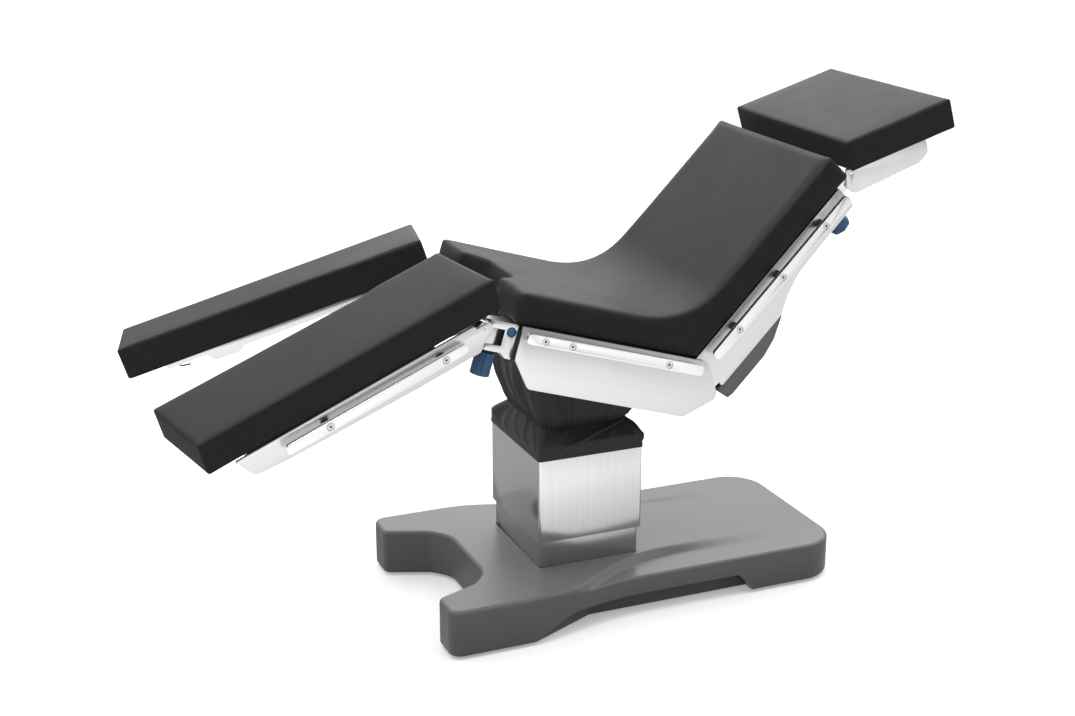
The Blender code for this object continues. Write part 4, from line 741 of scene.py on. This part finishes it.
# %% Slice into a net and lower the points
JOINT_X, JOINT_HALF, JOINT_DEPTH = -0.0955, 0.0005, 0.0008
COARSE, FINE = 0.012, 0.005
along = [*np.arange(-0.400, -0.22, COARSE), *np.arange(-0.22, 0.30, FINE)]
along += [*np.arange(0.30, 0.65, COARSE), *(JOINT_X + JOINT_HALF * n for n in range(-2, 3))]
across = [*np.arange(0.006, 0.10, COARSE), *np.arange(0.10, 0.29, FINE)]
sliced(cover, [((place, 0, 0), (1, 0, 0)) for place in along])
sliced(cover, [((0, side * place, 0), (0, 1, 0)) for place in across for side in (-1, 1)])
net = bmesh.new()
net.from_mesh(cover.data)
for vertex in net.verts:
    if vertex.co.z > LOWERED_ABOVE:
        share = (moulding_height(*vertex.co.xy) - FOLD_LEVEL) / (BASE_TOP - FOLD_LEVEL)
        vertex.co.z = FOLD_LEVEL + (vertex.co.z - FOLD_LEVEL) * share
net.normal_update()
for vertex in net.verts:
    if abs(vertex.co.x - JOINT_X) < 0.6 * JOINT_HALF and vertex.co.z > BASE_HEM + 0.001:
        vertex.co -= vertex.normal * JOINT_DEPTH
net.to_mesh(cover.data)
net.free()
cover.data.transform(Matrix.Translation((COLUMN_X, 0, 0)))
dress(cover, base_paint, "base")
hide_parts("base_cover")
print("base cover:", len(cover.data.polygons), "faces")

# %% [markdown]
# ## Side rails
#
# Accessories hang on the side rails: arm boards, leg supports, screens. A rail is a flat steel bar
# held off the section's side by standoffs, with a countersunk screw through the bar into each of
# them. So each rail gets real countersinks, and a screw is laid in each: a bright disc with a
# bevelled rim and a socket in the middle whose floor is painted near black as painted shade.

# %% Screw and standoff
SCREW_RADIUS, STANDOFF_RADIUS = 0.0080, 0.0098
RAIL_FACE, RAIL_BACK = 0.298, 0.288
SCREW_SUNK = 0.0022


def face_outwards(piece, side, spot, section):
    """Turn a piece that was built along Z to point sideways, and set it in its place."""
    piece.data.transform(Matrix.Rotation(math.radians(-90 * side), 4, "X"))
    piece.data.transform(section @ Matrix.Translation(spot))
    return piece


def countersink(side, spot, section):
    """A shallow round cutter in the face of a rail."""
    size = {"vertices": 32, "radius": SCREW_RADIUS + 0.0009, "depth": 0.005}
    cutter = add_primitive(bpy.ops.mesh.primitive_cylinder_add, "countersink", **size)
    return face_outwards(cutter, side, spot, section)


def screw(name, side, spot, section, body):
    """A countersunk screw with a hexagon socket."""
    size = {"vertices": 36, "radius": SCREW_RADIUS, "fill_type": "NGON"}
    piece = add_primitive(bpy.ops.mesh.primitive_circle_add, name, **size)
    bpy.ops.object.mode_set(mode="EDIT")
    bpy.ops.mesh.select_mode(type="FACE")
    bpy.ops.mesh.select_all(action="SELECT")
    bpy.ops.mesh.extrude_region_move(TRANSFORM_OT_translate={"value": (0, 0, 0.0016)})
    bpy.ops.mesh.inset(thickness=0.0005, depth=0.0004)
    bpy.ops.mesh.inset(thickness=0.0048, depth=0.0)
    bpy.ops.object.mode_set(mode="OBJECT")
    piece.data.materials.append(casting)
    piece.data.materials.append(black_and_shade_paint)
    # The socket's floor is painted near black: painted shade in the hole.
    inmost = [face for face in piece.data.polygons if face.center.xy.length < 0.0005]
    max(inmost, key=lambda face: face.center.z).material_index = 1
    face_outwards(piece, side, spot, section)
    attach(piece, body)


def standoff(name, side, spot, section, length, body):
    """A black distance ring between a side plate and its rail."""
    size = {"vertices": 28, "radius": STANDOFF_RADIUS, "depth": length}
    piece = add_primitive(bpy.ops.mesh.primitive_cylinder_add, name, **size)
    soften(piece, 0.0012, 2, 60)
    face_outwards(piece, side, spot, section)
    dress(piece, black_and_shade_paint, body)


# %% [markdown]
# The rails sit at the same distance from the middle of the table on the seat and on the back. On a
# leg section the distance counts from the leg's own pin, and the rail is on the outer side.

# %% Rails with their screws and standoffs
SEAT_SPOTS = [(x, 0.180) for x in (-0.242, -0.174, 0.079)]
BACK_SPOTS = [(x, 0.030) for x in (0.146, 0.304, 0.460)]
LEG_SPOTS = [(x, 0.0) for x in (0.127, 0.424)]
SEAT_WALL, BACK_WALL = 0.2753, 0.2663
rail_plans = []
for name, side in SIDES.items():
    leg, leg_steel = f"leg_{name}", bright[f"{name}_leg"]
    rail_plans += [
        (f"seat_rail_{name}", SEAT, bright["seat"], "seat", side, 0.0, SEAT_WALL, SEAT_SPOTS),
        (f"back_rail_{name}", BACK, bright["back"], "back", side, 0.0, BACK_WALL, BACK_SPOTS),
        (f"leg_rail_{name}", LEGS[name], leg_steel, leg, -side, PIN_Y, SEAT_WALL, LEG_SPOTS),
    ]
for node, section, finish, body, side, pin, wall, spots in rail_plans:
    cutters = []
    for number, (x, z) in enumerate(spots):
        face = side * (RAIL_FACE - pin)
        cutters.append(countersink(side, (x, face, z), section))
        screw(f"{node}_screw_{number}", side, (x, face - side * SCREW_SUNK, z), section, body)
        middle = (x, side * ((RAIL_BACK + wall) / 2 - pin), z)
        length = RAIL_BACK - wall - 0.0002
        standoff(f"{node}_standoff_{number}", side, middle, section, length, body)
    finer_copy(node, finish, 0.0010, 3, cutters)
print("rails:", len(rail_plans))

# %% [markdown]
# ## Grips and the coupler's cover plate
#
# The long grip under each coupler is fluted, so that it can be turned with wet gloves. The flutes
# are narrow grooves with broad lands between them. A thin steel plate covers the top of the coupler
# and closes the way down into the joint. The inner faces of the coupler are painted near black:
# painted shade for the deep shadow in the joint. The bent wire under each leg section that takes a
# strap is painted near black too. A thin dark ring round each release button is painted shade for
# the gap round it. Each button tapers a little, so that the leg's frame passes it when the leg is
# spread all the way.

# %% Painted shade in the couplers, dark strap wires and tapered buttons
MOUTH_X, MOUTH_LOW, MOUTH_HIGH = -0.3265, 0.1435, 0.1825
HOOK_X, HOOK_Y, HOOK_Z = 0.5215, 0.159, 0.0118
BUTTON = Vector((-0.311, 0.2609, 0.179))
BUTTON_TAPER = 0.06
to_seat = SEAT.inverted()


def paint_near_black(piece, chosen):
    """Give the chosen faces of a piece the near-black paint, which also serves as painted shade."""
    piece.data.materials.append(black_and_shade_paint)
    for face in piece.data.polygons:
        if chosen(face):
            face.material_index = 1


def in_mouth(face):
    """Whether a face of the coupler looks into the joint, where the shade is painted."""
    middle = to_seat @ face.center
    inside = MOUTH_LOW < middle.z < MOUTH_HIGH and middle.x < MOUTH_X + 0.001
    return inside and abs((to_seat.to_3x3() @ face.normal).y) < 0.5


for name, side in SIDES.items():
    # The faces in the coupler's mouth get painted shade; the strap wire below is painted near black.
    paint_near_black(bpy.data.objects[f"dressed_leg_coupler_{name}"], in_mouth)
    to_leg = LEGS[name].inverted()

    def on_hook(face):
        """Whether a face of the leg's frame belongs to the wire for the strap."""
        middle = to_leg @ face.center
        return middle.x > HOOK_X and middle.z < HOOK_Z and abs(middle.y - side * HOOK_Y) < 0.004

    paint_near_black(bpy.data.objects[f"dressed_leg_frame_{name}"], on_hook)
    for vertex in bpy.data.objects[f"dressed_release_button_{name}"].data.vertices:
        spot = to_seat @ vertex.co
        if side * spot.y > BUTTON.y + 0.0003:
            off_axis = Vector((spot.x - BUTTON.x, 0, spot.z - BUTTON.z))
            vertex.co = SEAT @ (spot - off_axis * BUTTON_TAPER)

# %% [markdown]
# A grip is a slab of a round outline. Its radius drops ten times on the way round, and that makes
# the grooves. The collar above it is the same without them.

# %% Painted gap shade round the buttons, fluted grips and cover plates
GAP_SHADE_RING = {"major_radius": 0.0106, "minor_radius": 0.0008, "major_segments": 40, "minor_segments": 8}
KNOB_RADIUS, KNOB_TOP, KNOB_LOW = 0.0225, 0.1222, 0.0690
COLLAR_RADIUS, COLLAR_TOP = 0.0185, 0.1286
FLUTES, FLUTE_DEPTH = 10, 0.0024
COVER_LOW, COVER_TOP = 0.19725, 0.19815


def ring(count, radius):
    """Points round a circle. The radius depends on the angle."""
    angles = [2 * math.pi * number / count for number in range(count)]
    return [Vector((math.cos(a), math.sin(a))) * radius(a) for a in angles]


def fluted(angle):
    """The grip's radius, less in its narrow grooves."""
    return KNOB_RADIUS - FLUTE_DEPTH * max(0.0, math.cos(FLUTES * angle)) ** 6


for name, side in SIDES.items():
    # A thin dark ring round the button: painted shade for the gap round it.
    gap_shade_ring = add_primitive(bpy.ops.mesh.primitive_torus_add, f"button_gap_shade_{name}", **GAP_SHADE_RING)
    face_outwards(gap_shade_ring, side, (BUTTON.x, side * BUTTON.y, BUTTON.z), SEAT)
    dress(gap_shade_ring, tyre_rubber, "seat", 180)
    clamp = f"spread_clamp_{name}"
    at_pin = SEAT @ Matrix.Translation((PIN_X, side * PIN_Y, 0))
    grip = slab(f"fluted_grip_{name}", ring(140, fluted), KNOB_LOW, KNOB_TOP)
    soften(grip, 0.0022, 3, 60).data.transform(at_pin)
    dress(grip, grip_plastic, clamp)
    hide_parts(f"spread_knob_{name}")
    round_plan = ring(40, lambda angle: COLLAR_RADIUS)
    collar = slab(f"grip_collar_{name}", round_plan, KNOB_TOP + 0.0001, COLLAR_TOP)
    soften(collar, 0.0006, 2, 60).data.transform(at_pin)
    dress(collar, black_and_shade_paint, clamp)
    plan = [(-0.2985, 0.2595, 0.004), (-0.3675, 0.2595, 0.012)]
    plan += [(-0.3675, 0.2200, 0.012), (-0.2985, 0.1900, 0.004)]
    points = [(p.x, side * p.y) for p in rounded(plan, 12)]
    plate = slab(f"coupler_cover_{name}", points, COVER_LOW, COVER_TOP)
    plate.data.transform(SEAT)
    plate.data.materials.append(steel["seat"])
    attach(plate, "seat")
print("grips and cover plates: 2 of each")

# %% [markdown]
# ## Cushions
#
# A cushion is a slab of foam in a sewn cover. The cover pulls the edges round and the faces crown a
# little. Each cushion starts as a slab of its outline, gets a narrow rounded edge, and is divided
# into cells. It is then blown up gently as cloth, with a cap on how far any point may move. Cloth
# wrinkles where it is pressed together, and these covers are pulled tight. So the moves of
# neighbouring points are averaged before they are used: faces fill out and edges stay crisp.

# %% Swell a cushion
PRESSURE, STIFFNESS, FRAMES = 3.0, 15, 12
MOST_SWELL = 0.0026
AVERAGINGS = 8


def even_out(piece, move):
    """Average each point's move with its neighbours', so that a swelling has no wrinkles."""
    edges = np.array([edge.vertices[:] for edge in piece.data.edges])
    count = np.bincount(edges.ravel(), minlength=len(move))[:, None]
    for _ in range(AVERAGINGS):
        total = np.zeros_like(move)
        np.add.at(total, edges[:, 0], move[edges[:, 1]])
        np.add.at(total, edges[:, 1], move[edges[:, 0]])
        move = 0.5 * move + 0.5 * total / count
    return move


def blown_up(piece):
    """Run a cloth simulation under pressure and give back where every point went."""
    cloth = piece.modifiers.new("simulated", "CLOTH")
    settings = cloth.settings
    settings.effector_weights.gravity = 0.0
    settings.quality = 4
    settings.use_pressure = True
    settings.uniform_pressure_force = PRESSURE
    settings.tension_stiffness = STIFFNESS
    settings.compression_stiffness = STIFFNESS
    settings.bending_stiffness = 0.5
    scene = bpy.context.scene
    scene.frame_start = 1
    scene.frame_end = FRAMES
    for number in range(1, FRAMES + 1):
        scene.frame_set(number)
    graph = bpy.context.evaluated_depsgraph_get()
    after = np.array([v.co for v in piece.evaluated_get(graph).data.vertices])
    piece.modifiers.remove(cloth)
    scene.frame_set(1)
    return after


def swell(piece):
    """Let a cushion that is divided into cells fill out as cloth under pressure."""
    before = np.array([v.co for v in piece.data.vertices])
    move = blown_up(piece) - before
    length = np.linalg.norm(move, axis=1, keepdims=True)
    move *= np.minimum(1.0, MOST_SWELL / np.maximum(length, 1e-9))
    move = even_out(piece, move)
    piece.data.vertices.foreach_set("co", (before + move).ravel())
    piece.data.update()
    most = 1000 * float(np.linalg.norm(move, axis=1).max())
    print(piece.name, "swelled by up to", round(most, 1), "mm")


# %% [markdown]
# Last, a cushion is turned to its section, gets its finish, and takes the place of the imported pads.
# The head and leg cushions are then told which body they ride on.

# %% Settle a cushion in its place
def settle(piece, section, *nodes):
    """Turn a level cushion to its section, and give it its finish and what it stands for."""
    piece.data.transform(section)
    piece.data.materials.clear()
    piece.data.materials.append(upholstery)
    select_only(piece)
    bpy.ops.object.shade_smooth()
    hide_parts(*nodes)
    print(piece.name, len(piece.data.vertices), "points")


# %% [markdown]
# ### Seat and back cushion
#
# The seat and back share one cover, so the cushion runs round the bend in one piece. Its side view
# is drawn first: along the seat, round the hinge in a smooth hollow curve, and up the back. The
# slab is then as wide as the table. The round cut-out at the foot end is taken out with a boolean,
# and a voxel remesh divides the whole into even cells.

# %% Side view of the seat and back cushion
PAD_HALF, PAD_THICK, PAD_ROUND = 0.270, 0.072, 0.0048
SEAT_UNDER, SEAT_END = 0.2003, -0.310
BACK_UNDER, BACK_END = 0.0503, 0.5870
BACK_TOP = 0.050 + PAD_THICK
INSET = 0.001
lean = math.radians(BACK_LEAN)


def up_the_back(x, z):
    """A point of the back's side view, in the seat's measures."""
    cos, sin = math.cos(lean), math.sin(lean)
    return HINGE + Vector((x * cos - z * sin, x * sin + z * cos))


def smooth_bend(first, corner, last, steps=14):
    """A curve from one point to another that leans on a corner between them."""
    shares = [number / steps for number in range(steps + 1)]
    return [first * (1 - t) ** 2 + corner * 2 * t * (1 - t) + last * t * t for t in shares]


mitre = math.tan(lean / 2)
corner_top = HINGE + Vector((-mitre * BACK_TOP, BACK_TOP))
corner_under = HINGE + Vector((-mitre * BACK_UNDER, BACK_UNDER))
bend_foot = Vector((corner_top.x - 0.140, corner_top.y))
bend_head = up_the_back(mitre * BACK_TOP + 0.120, BACK_TOP)
profile = [
    Vector((SEAT_END, SEAT_UNDER + PAD_THICK)),
    *smooth_bend(bend_foot, corner_top, bend_head),
    up_the_back(BACK_END, BACK_TOP),
    up_the_back(BACK_END, BACK_UNDER),
    up_the_back(mitre * BACK_UNDER + 0.006, BACK_UNDER),
    corner_under - Vector((0.006, 0)),
    Vector((SEAT_END, SEAT_UNDER)),
]

# %% [markdown]
# The slab of the side view stands across the table. Its edges are rounded before the cut-out is
# taken out, because the short edges that a boolean leaves would squeeze a later bevel to nothing.

# %% Seat and back cushion
CELL = 0.0047
side_at = PAD_HALF - INSET
main_pad = slab("main_cushion", profile[::-1], -side_at, side_at, "Y")
notch = mirrored([(-0.254, 0.078, 0.058), (-0.300, 0.118, 0.030), (-0.420, 0.127, 0.0)])
cutter = slab("cut_out", rounded(notch), 0.1, 0.4)
soften(main_pad, 0.0060, 3)
carve(main_pad, cutter)
remesh = main_pad.modifiers.new("even_cells", "REMESH")
remesh.mode = "VOXEL"
remesh.voxel_size = CELL
bpy.ops.object.modifier_apply(modifier=remesh.name)
swell(main_pad)
settle(main_pad, SEAT, "seat_pad", "back_pad")
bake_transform(main_pad)

# %% [markdown]
# ### Head and leg cushions
#
# These are plain slabs with crisp edges. The leg cushions are a little wider at the hinge, where
# they fill the space beside the seat, and narrow towards the foot. A plain slab is divided into
# cells by slices: one close to each edge, and the rest evenly between.

# %% Plain cushions
SLICE, EDGE_SLICE = 0.0135, 0.0055


def plain_pad(name, corners, low, high):
    """A slab with narrow rounded edges, sliced into cells along its three directions."""
    pad = slab(name, corners, low, high - INSET / 2)
    soften(pad, PAD_ROUND, 3)
    ends = np.array([corner[:] for corner in pad.bound_box])
    for axis, (first, last) in enumerate(zip(ends.min(axis=0), ends.max(axis=0))):
        count = math.ceil((last - first) / SLICE)
        places = [first + (last - first) * number / count for number in range(1, count)]
        normal = Vector([float(axis == number) for number in range(3)])
        cuts = [first + EDGE_SLICE, *places, last - EDGE_SLICE]
        sliced(pad, [(normal * place, normal) for place in cuts])
    swell(pad)
    return pad


# %% [markdown]
# The head cushion is a plain box with tight corners, about as wide as the back cushion.

# %% Head cushion
HEAD_START, HEAD_END, HEAD_HALF = -0.0122 + INSET, 0.2876 - INSET, 0.267 - INSET
head_corners = [
    (HEAD_START, -HEAD_HALF, 0.007),
    (HEAD_END, -HEAD_HALF, 0.007),
    (HEAD_END, HEAD_HALF, 0.007),
    (HEAD_START, HEAD_HALF, 0.007),
]
head_pad = plain_pad("head_cushion", rounded(head_corners), 0.0105, 0.0835)
settle(head_pad, HEAD, "head_pad")
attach(head_pad, "head")

# %% [markdown]
# The two leg cushions are mirror pictures of each other. Each is a little narrower at the foot,
# and the change is spread over a long bend, so that no corner shows.

# %% Leg cushions
LEG_START, LEG_END = -0.055 + INSET, 0.695 - INSET
LEG_OUTER, LEG_WIDE, LEG_NARROW = 0.0285 - INSET, -0.2035 + INSET, -0.1935 + INSET
leg_corners = [
    (LEG_START, LEG_OUTER, 0.006),
    (LEG_START, LEG_WIDE, 0.008),
    (0.115, LEG_WIDE, 0.08),
    (0.175, LEG_NARROW, 0.08),
    (LEG_END, LEG_NARROW, 0.008),
    (LEG_END, LEG_OUTER, 0.008),
]
for name, side in SIDES.items():
    leg_plan = [(p.x, -side * p.y) for p in rounded(leg_corners)]
    pad = plain_pad(f"leg_cushion_{name}", leg_plan, 0.0245, 0.099)
    settle(pad, LEGS[name], f"leg_pad_{name}")
    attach(pad, f"leg_{name}")

# %% [markdown]
# ## The gaiter
#
# A cloth cover hides the tilt head and keeps fingers out of it. It has two parts, sewn together
# along an elastic seam: a skirt that is drawn tight round the rim of the column, and a boot that
# rises to the seat. Both are tubes of cloth, rolled from a flat grid.
#
# Even waves look like water, not like cloth. A fold of cloth is a ridge that starts where the cloth
# is held, runs slantwise to the next place where it is held, and dies out at both ends, with a
# narrow crease beside it. So the folds are laid in one by one: where each starts at the lower edge
# of the tube, where it ends at the upper edge, how wide it is and how high.

# %% Roll a cloth tube
def rounded_ring(half_x, half_y, corner, share):
    """A point on a rounded rectangle, with its outward direction, at a share of the way round."""
    x, y = half_x - corner, half_y - corner
    quarter = math.pi * corner / 2
    runs = [
        (y, (half_x, 0), 0, False),
        (quarter, (x, y), 0, True),
        (2 * x, (x, half_y), 90, False),
        (quarter, (-x, y), 90, True),
        (2 * y, (-half_x, y), 180, False),
        (quarter, (-x, -y), 180, True),
        (2 * x, (-x, -half_y), 270, False),
        (quarter, (x, -y), 270, True),
        (y, (half_x, -y), 360, False),
    ]
    walk = (share % 1.0) * sum(run[0] for run in runs)
    for length, start, angle, is_arc in runs:
        if walk <= length:
            break
        walk -= length
    direction = math.radians(angle) + (walk / corner if is_arc else 0.0)
    out = Vector((math.cos(direction), math.sin(direction)))
    if is_arc:
        return Vector(start) + out * corner, out
    return Vector(start) + Vector((-out.y, out.x)) * walk, out


def cloth_tube(name, around, rows, place):
    """A flat grid rolled into a tube: place(share round, share up) gives each point."""
    size = {"x_subdivisions": around, "y_subdivisions": rows, "size": 1}
    piece = add_primitive(bpy.ops.mesh.primitive_grid_add, name, **size)
    shares = []
    for vertex in piece.data.vertices:
        share, up = vertex.co.x + 0.5, vertex.co.y + 0.5
        shares.append((share, up))
        vertex.co = place(share, up)
    kept = piece.data.attributes.new("share", "FLOAT2", "POINT")
    kept.data.foreach_set("vector", np.array(shares).ravel())
    bpy.ops.object.mode_set(mode="EDIT")
    bpy.ops.mesh.select_all(action="SELECT")
    bpy.ops.mesh.remove_doubles(threshold=0.00001)
    bpy.ops.object.mode_set(mode="OBJECT")
    return piece


def places_on(piece):
    """The share round and the share up of each point of a tube."""
    return [tuple(item.vector) for item in piece.data.attributes["share"].data]


def wander(share, height, scale, seed):
    """A smooth random value that meets itself after one round."""
    angle = 2 * math.pi * share
    spot = Vector((math.cos(angle) * scale, math.sin(angle) * scale, height * scale + seed))
    return noise.noise(spot)


def folded(share, up, folds, girth):
    """The height of the folds (start, end, width, height) at a spot of a tube."""
    total = 0.0
    fade = math.sin(math.pi * min(1.0, max(0.0, up))) ** 0.7
    for start, end, width, height in folds:
        middle = start + (end - start) * up + 0.006 * math.sin(5 * up + 40 * start)
        apart = ((share - middle + 0.5) % 1.0 - 0.5) * girth
        ridge = math.exp(-((apart / width) ** 2))
        crease = math.exp(-(((apart - 1.7 * width) / (0.35 * width)) ** 2))
        total += height * fade * (ridge - 0.35 * crease)
    return total


def finish_cloth(piece):
    piece.data.materials.append(gaiter_cloth)
    select_only(piece)
    bpy.ops.object.shade_smooth()


# %% [markdown]
# The skirt stands upright at its hem, which is drawn round the column's rim, and slopes from there
# to the elastic seam. On the side of the leg sections it has slack, which stands out over the rim
# in two loops. The long sides are drawn tight, with one long slanting ridge each. The corners on
# the side of the head are folded like the ends of a parcel. The ring is counted from the head end,
# so the corners lie near 0.13, 0.37, 0.63 and 0.87 of the way round.

# %% Skirt
HEM_Z, RIM_Z, SEAM_Z = 0.398, 0.432, 0.465
HEM_SHARE, FLAT_BELOW = 0.34, 0.14
SKIRT_GIRTH, SKIRT_FLAT_GIRTH = 1.16, 1.30
AROUND, PUCKERS = 360, 88
SKIRT_FOLDS = [
    (0.405, 0.385, 0.020, 0.0125),
    (0.455, 0.425, 0.011, 0.0065),
    (0.520, 0.465, 0.012, 0.0070),
    (0.575, 0.520, 0.009, 0.0060),
    (0.615, 0.575, 0.010, 0.0055),
    (0.640, 0.700, 0.014, 0.0060),
    (0.660, 0.860, 0.016, 0.0065),
    (0.770, 0.820, 0.012, 0.0030),
    (0.868, 0.862, 0.009, 0.0110),
    (0.920, 0.960, 0.012, 0.0050),
    (0.040, 0.020, 0.014, 0.0060),
    (0.132, 0.138, 0.009, 0.0100),
    (0.180, 0.280, 0.016, 0.0060),
    (0.320, 0.350, 0.013, 0.0060),
]


def skirt_place(share, up):
    """From the hem (up = 0) over the rim of the column to the seam (up = 1)."""
    if up < HEM_SHARE:
        t = up / HEM_SHARE
        half = Vector((0.1362, 0.1566))
        z = HEM_Z + (RIM_Z - HEM_Z) * t
    else:
        t = (up - HEM_SHARE) / (1 - HEM_SHARE)
        half = Vector((0.1362 - 0.026 * t, 0.1566 - 0.034 * t))
        z = RIM_Z + (SEAM_Z - RIM_Z) * t ** 0.85
    corner = 0.0068 + 0.030 * max(0.0, up - HEM_SHARE)
    spot, out = rounded_ring(half.x, half.y, corner, share)
    fold = 0.0
    if up > FLAT_BELOW:
        rise = (up - FLAT_BELOW) / (1 - FLAT_BELOW)
        fold = folded(share, rise, SKIRT_FOLDS, SKIRT_GIRTH)
    crumple = math.sin(math.pi * up) * 0.0022 * wander(share, up * 0.6, 4.0, 7)
    hem_roll = 0.0012 * smooth(-up, -0.10, -0.05)
    reach = max(-0.0004, fold + crumple) + hem_roll
    lift = 0.35 * max(0.0, fold)
    return Vector((COLUMN_X + spot.x + out.x * reach, spot.y + out.y * reach, z + lift * up))


def elastic(piece, seam_at, reach, depth):
    """Lay the puckers of the elastic seam into a tube, deepest at the seam."""
    piece.data.update()
    normals = [vertex.normal.copy() for vertex in piece.data.vertices]
    for vertex, normal, (share, up) in zip(piece.data.vertices, normals, places_on(piece)):
        near = math.exp(-(((up - seam_at) / reach) ** 2))
        sway = share * PUCKERS + 1.6 * wander(share, 0, 3, 5)
        level = Vector((normal.x, normal.y, 0))
        if level.length > 0.01:
            vertex.co += level.normalized() * depth * near * math.sin(2 * math.pi * sway)


skirt = cloth_tube("gaiter_skirt_cloth", AROUND, 44, skirt_place)
elastic(skirt, 1.0, 0.14, 0.0016)
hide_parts("gaiter_skirt")
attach(skirt, "lift")
finish_cloth(skirt)

# %% [markdown]
# The boot's top ring leans with the seat, and the rings below lean less and less. It widens upwards
# on the foot side, where the seat's frame reaches out over the column. Its folds hang from the seat
# down into the elastic. It is made in one piece and then parted half way up, at the cradle, into a
# lower and an upper half.

# %% Boot
BOOT_SPLIT, BOOT_ROWS = 0.52, 50
BOOT_GIRTH, BOOT_FLAT_GIRTH = 0.94, 1.15
BOOT_FOLDS = []
for number in range(17):
    start = (number + 0.35 * math.sin(7.1 * number)) / 17
    slant = 0.022 * math.sin(5.3 * number + 1)
    width = 0.0105 + 0.0040 * math.sin(2.9 * number + 1)
    BOOT_FOLDS.append((start, start + slant, width, 0.0072 + 0.0030 * math.sin(3.7 * number)))


def boot_place(share, up):
    """From the elastic seam (up = 0) to the seat frame (up = 1)."""
    half_x = 0.1105 + 0.027 * up ** 0.7
    half_y = 0.1230 + 0.037 * up ** 0.7
    spot, out = rounded_ring(half_x, half_y, 0.032 + 0.006 * up, share)
    footwards = 0.036 * smooth(up, 0.10, 0.62) * smooth(-spot.x, -0.06, half_x)
    fold = folded(share, up * 0.93 + 0.02, BOOT_FOLDS, BOOT_GIRTH)
    slack = math.sin(math.pi * up) * 0.006 * wander(share, up * 0.8, 2.4, 21)
    pinch = -0.004 * math.exp(-((up - 0.05) / 0.05) ** 2)
    reach = fold + slack + pinch
    z = SEAM_Z - 0.002 - TILT_POINT.z + up * 0.147
    level = Vector((spot.x - footwards + out.x * reach, spot.y + out.y * reach, z))
    leaning = turn_y(SEAT_LEAN * min(1.0, up / BOOT_SPLIT) ** 1.2) @ level
    return TILT_POINT + leaning


def part_off(piece, name, side_to_drop):
    """A copy of a tube without the rows above (1) or below (-1) the split."""
    half = bpy.data.objects.new(name, piece.data.copy())
    bpy.context.scene.collection.objects.link(half)
    shares = places_on(half)
    mesh = bmesh.new()
    mesh.from_mesh(half.data)
    split_row = round(BOOT_SPLIT * BOOT_ROWS) / BOOT_ROWS
    over = [v for v, (_, up) in zip(mesh.verts, shares) if (up - split_row) * side_to_drop > 0.001]
    bmesh.ops.delete(mesh, geom=over, context="VERTS")
    mesh.to_mesh(half.data)
    mesh.free()
    return half


boot = cloth_tube("gaiter_boot_cloth", AROUND, BOOT_ROWS, boot_place)
elastic(boot, 0.06, 0.11, 0.0022)
lower_boot = part_off(boot, "gaiter_boot_lower", 1)
upper_boot = part_off(boot, "gaiter_boot_upper", -1)
bpy.data.objects.remove(boot)
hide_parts("gaiter_boot")
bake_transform(lower_boot)
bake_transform(upper_boot)
finish_cloth(lower_boot)
finish_cloth(upper_boot)

# %% [markdown]
# ## Last look
#
# The picture is shown as it was lit, without a film look.

# %% Colour view and end
bpy.context.scene.view_settings.view_transform = "Standard"
